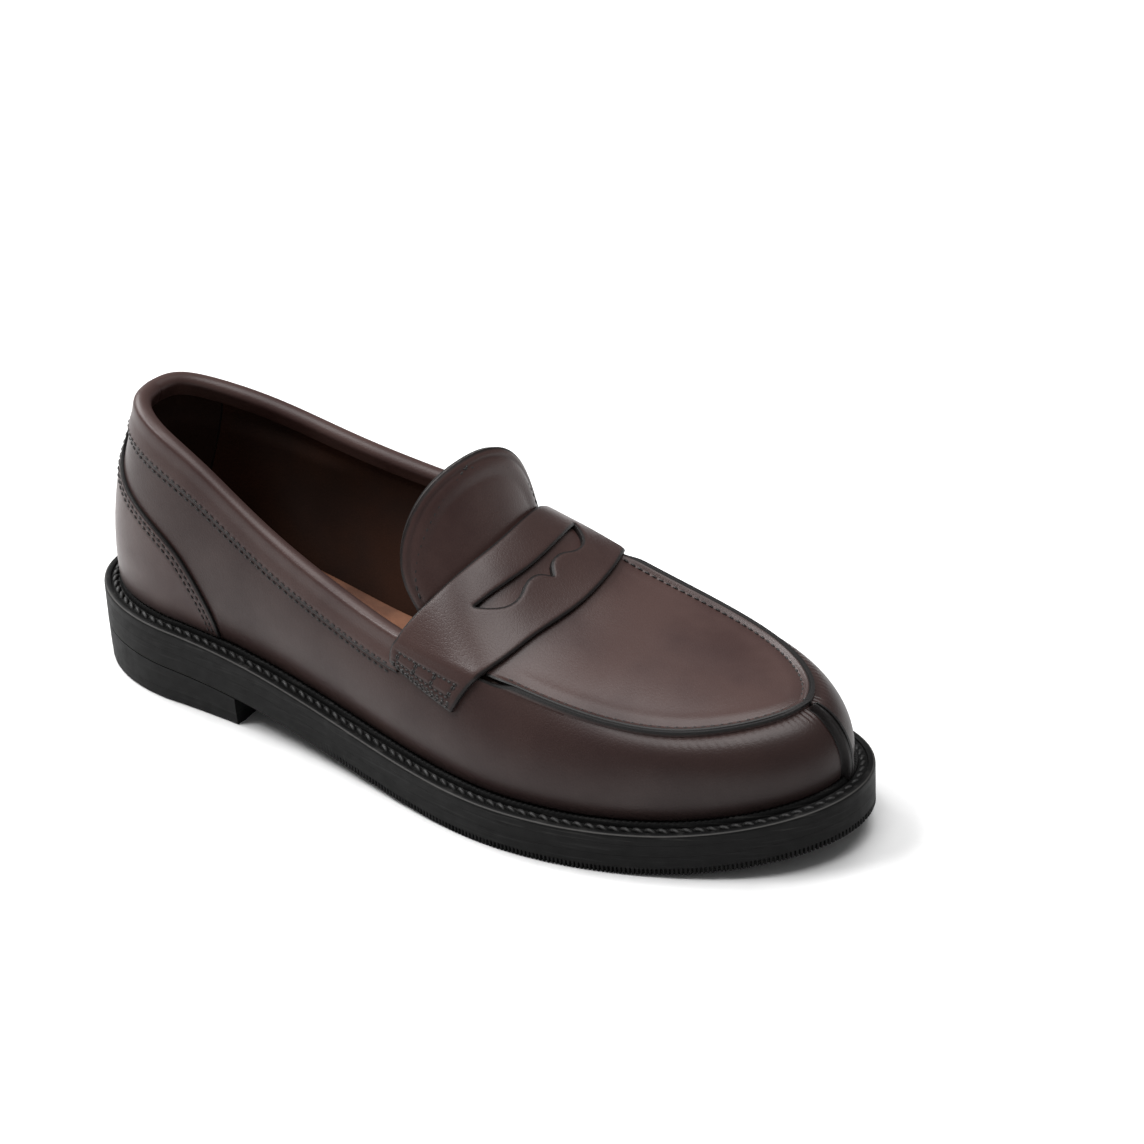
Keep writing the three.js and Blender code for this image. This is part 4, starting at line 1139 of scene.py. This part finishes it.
def rubber_finish(name, base, worn, rough, scuff):
    material, tree, shader = new_material(name)
    group = node_of(tree, "ShaderNodeGroup", node_tree=RUBBER)
    group.inputs["Scuff"].default_value = scuff
    edges = node_of(tree, "ShaderNodeGroup", node_tree=EDGES)
    edges.inputs["Ink Width"].default_value = 0.5
    mixed = blend_colours(tree, group.outputs["Scuffs"], base, worn)
    # On the welt this lightens the rounded outer rim towards the worn grey: painted highlight together with
    # scuffing.
    mixed = blend_colours(tree, math_of(tree, "MULTIPLY", edges.outputs["Ink"], 0.35), mixed, worn)
    tree.links.new(mixed, shader.inputs["Base Color"])
    roughness = node_of(tree, "ShaderNodeMath", {0: group.outputs["Mottle"], 1: 0.25, 2: rough},
                        operation="MULTIPLY_ADD").outputs[0]
    tree.links.new(roughness, shader.inputs["Roughness"])
    shader.inputs["Specular IOR Level"].default_value = 0.14
    bump(tree, shader, group.outputs["Height"], 0.4, 0.08 * MM)
    return material


def thread_finish(name, base, twist):
    """Twisted thread: slanting plies across each stitch."""
    material, tree, shader = new_material(name)
    place_of = node_of(tree, "ShaderNodeTexCoord").outputs["Object"]
    plies = node_of(tree, "ShaderNodeTexWave", {"Vector": place_of, "Scale": twist, "Distortion": 1.5},
                    bands_direction="DIAGONAL")
    tone = blend_colours(tree, math_of(tree, "MULTIPLY", plies.outputs[1], 0.5), base, (0, 0, 0, 1))
    tree.links.new(tone, shader.inputs["Base Color"])
    shader.inputs["Roughness"].default_value = 0.6
    bump(tree, shader, plies.outputs[1], 0.5, 0.1 * MM)
    return material


def plain_finish(name, low, high, rough, size, metal=0.0):
    """Hidden parts: board, cork and steel with their own mottling."""
    material, tree, shader = new_material(name)
    place_of = node_of(tree, "ShaderNodeTexCoord").outputs["Object"]
    spots = node_of(tree, "ShaderNodeTexNoise", {"Vector": place_of, "Scale": size, "Detail": 6.0})
    tone = blend_colours(tree, ramp(tree, spots.outputs[0], 0.35, 0.65), low, high)
    tree.links.new(tone, shader.inputs["Base Color"])
    shader.inputs["Roughness"].default_value = rough
    shader.inputs["Metallic"].default_value = metal
    bump(tree, shader, spots.outputs[0], 0.3, 0.2 * MM)
    return material


GRAIN, EDGES, RUBBER = hide_grain(), ink_and_shade_marks(), moulded_rubber()
CALF = leather_finish("brown_calf", colour(66, 49, 46), colour(50, 32, 30), colour(24, 15, 14), 0.34,
                      coat=0.08, pore_depth=0.09)
LINING = leather_finish("lining_calf", colour(52, 30, 20), colour(34, 19, 13), colour(24, 14, 10), 0.55,
                        pore=1100.0, ink_width=0.02)
GRIP = leather_finish("heel_grip_suede", colour(40, 24, 17), colour(28, 16, 11), colour(20, 12, 9), 0.75,
                      pore=1500.0, ink_width=0.02)
SOCK = leather_finish("sock_leather", colour(118, 80, 60), colour(72, 46, 34), colour(34, 20, 14), 0.5,
                      pore=1000.0, ink_width=0.03, drift_size=38.0)
SOLE_RUBBER = rubber_finish("sole_rubber", colour(12, 12, 12), colour(38, 38, 38), 0.5, 0.5)
# The welt's light grey serves its scuffs and the painted highlight along its rim.
WELT_RUBBER = rubber_finish("welt_rubber", colour(8, 8, 8), colour(96, 94, 92), 0.45, 0.15)
THREAD = thread_finish("brown_thread", colour(19, 12, 11), 900.0)
WAXED_THREAD = thread_finish("waxed_thread", colour(28, 27, 27), 420.0)
BOARD = plain_finish("leatherboard", colour(120, 92, 64), colour(146, 116, 84), 0.85, 300.0)
CORK = plain_finish("cork", colour(120, 84, 50), colour(170, 128, 82), 0.95, 420.0)
STEEL = plain_finish("blued_steel", colour(96, 98, 102), colour(140, 142, 146), 0.35, 200.0, 1.0)
FLOOR_PAPER = plain_finish("white_paper", colour(228, 228, 228), colour(231, 231, 231), 0.9, 90.0)


# ------------------------------------------------------------------ studio
def aim(obj, location, target):
    obj.location = location
    direction = Vector(target) - Vector(location)
    obj.rotation_euler = direction.to_track_quat("-Z", "Y").to_euler()


def softbox(name, location, target, size, power):
    light = bpy.data.lights.new(name, "AREA")
    light.shape = "RECTANGLE"
    light.size, light.size_y = size
    light.energy = power
    lamp = bpy.data.objects.new(name, light)
    bpy.context.scene.collection.objects.link(lamp)
    aim(lamp, location, target)


def make_studio():
    bpy.context.scene.view_settings.view_transform = "Standard"
    floor = bpy.data.meshes.new("floor")
    corners = [(-3, -3, 0), (3, -3, 0), (3, 3, 0), (-3, 3, 0)]
    floor.from_pydata(corners, [], [(0, 1, 2, 3)])
    floor.materials.append(FLOOR_PAPER)
    sheet = bpy.data.objects.new("floor", floor)
    bpy.context.scene.collection.objects.link(sheet)
    world = bpy.data.worlds.new("studio")
    world.use_nodes = True
    world.node_tree.nodes["Background"].inputs[0].default_value = (1, 1, 1, 1)
    world.node_tree.nodes["Background"].inputs[1].default_value = 0.22
    bpy.context.scene.world = world
    softbox("key", (-0.62, -0.42, 1.15), (0, 0, 0.03), (0.4, 0.4), 9)
    softbox("rear_fill", (-1.2, 0.25, 1.1), (0, 0, 0.04), (1.0, 0.8), 26)
    softbox("overhead", (0.15, 0.2, 1.9), (0, 0, 0.03), (1.4, 1.4), 36)

    camera = bpy.data.cameras.new("camera")
    camera.lens = 3970 / 1144 * 36
    camera.sensor_width = 36
    body = bpy.data.objects.new("camera", camera)
    bpy.context.scene.collection.objects.link(body)
    yaw, pitch, roll = math.radians(32.30), math.radians(30.59), -0.052
    forward = Vector((-math.sin(yaw) * math.cos(pitch), math.cos(yaw) * math.cos(pitch), -math.sin(pitch)))
    right = Vector((math.cos(yaw), math.sin(yaw), 0))
    up = right.cross(forward)
    right, up = right * math.cos(roll) + up * math.sin(roll), up * math.cos(roll) - right * math.sin(roll)
    frame_of = Matrix((right, up, -forward)).transposed().to_4x4()
    frame_of.translation = Vector((574.4, -843.4, 660.5)) * MM
    body.matrix_world = frame_of
    bpy.context.scene.camera = body


# ------------------------------------------------------------------ build
finish_piece(make_welt(), WELT_RUBBER, ["welt"])
finish_piece(make_midsole(), SOLE_RUBBER, ["midsole"])
finish_piece(make_outsole(), SOLE_RUBBER, ["outsole"])
finish_piece(make_heel_block(), SOLE_RUBBER, ["heel_block"])
finish_piece(make_top_piece(), SOLE_RUBBER, ["heel_top_piece"])
finish_piece(make_sock(), SOCK, ["sock_liner"])
make_wall(LATERAL)
make_wall(MEDIAL)
make_apron()
make_strap()
make_tongue()
counter_rows = make_counter()
make_binding()
make_linings()
sew_collar(counter_rows)
sew_apron()
sew_toe_seam()
sew_welt()
sew_strap_end(LATERAL, "lateral")
sew_strap_end(MEDIAL, "medial")
for node_name, material in [("insole", BOARD), ("insole_rib", BOARD), ("counter_stiffener", BOARD),
                            ("toe_puff", BOARD), ("cork_filler", CORK), ("shank", STEEL),
                            *((f"heel_nail_{i}", STEEL) for i in range(1, 7))]:
    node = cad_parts[node_name]
    for i in range(max(1, len(node.material_slots))):
        node.material_slots[i].material = material
make_studio()
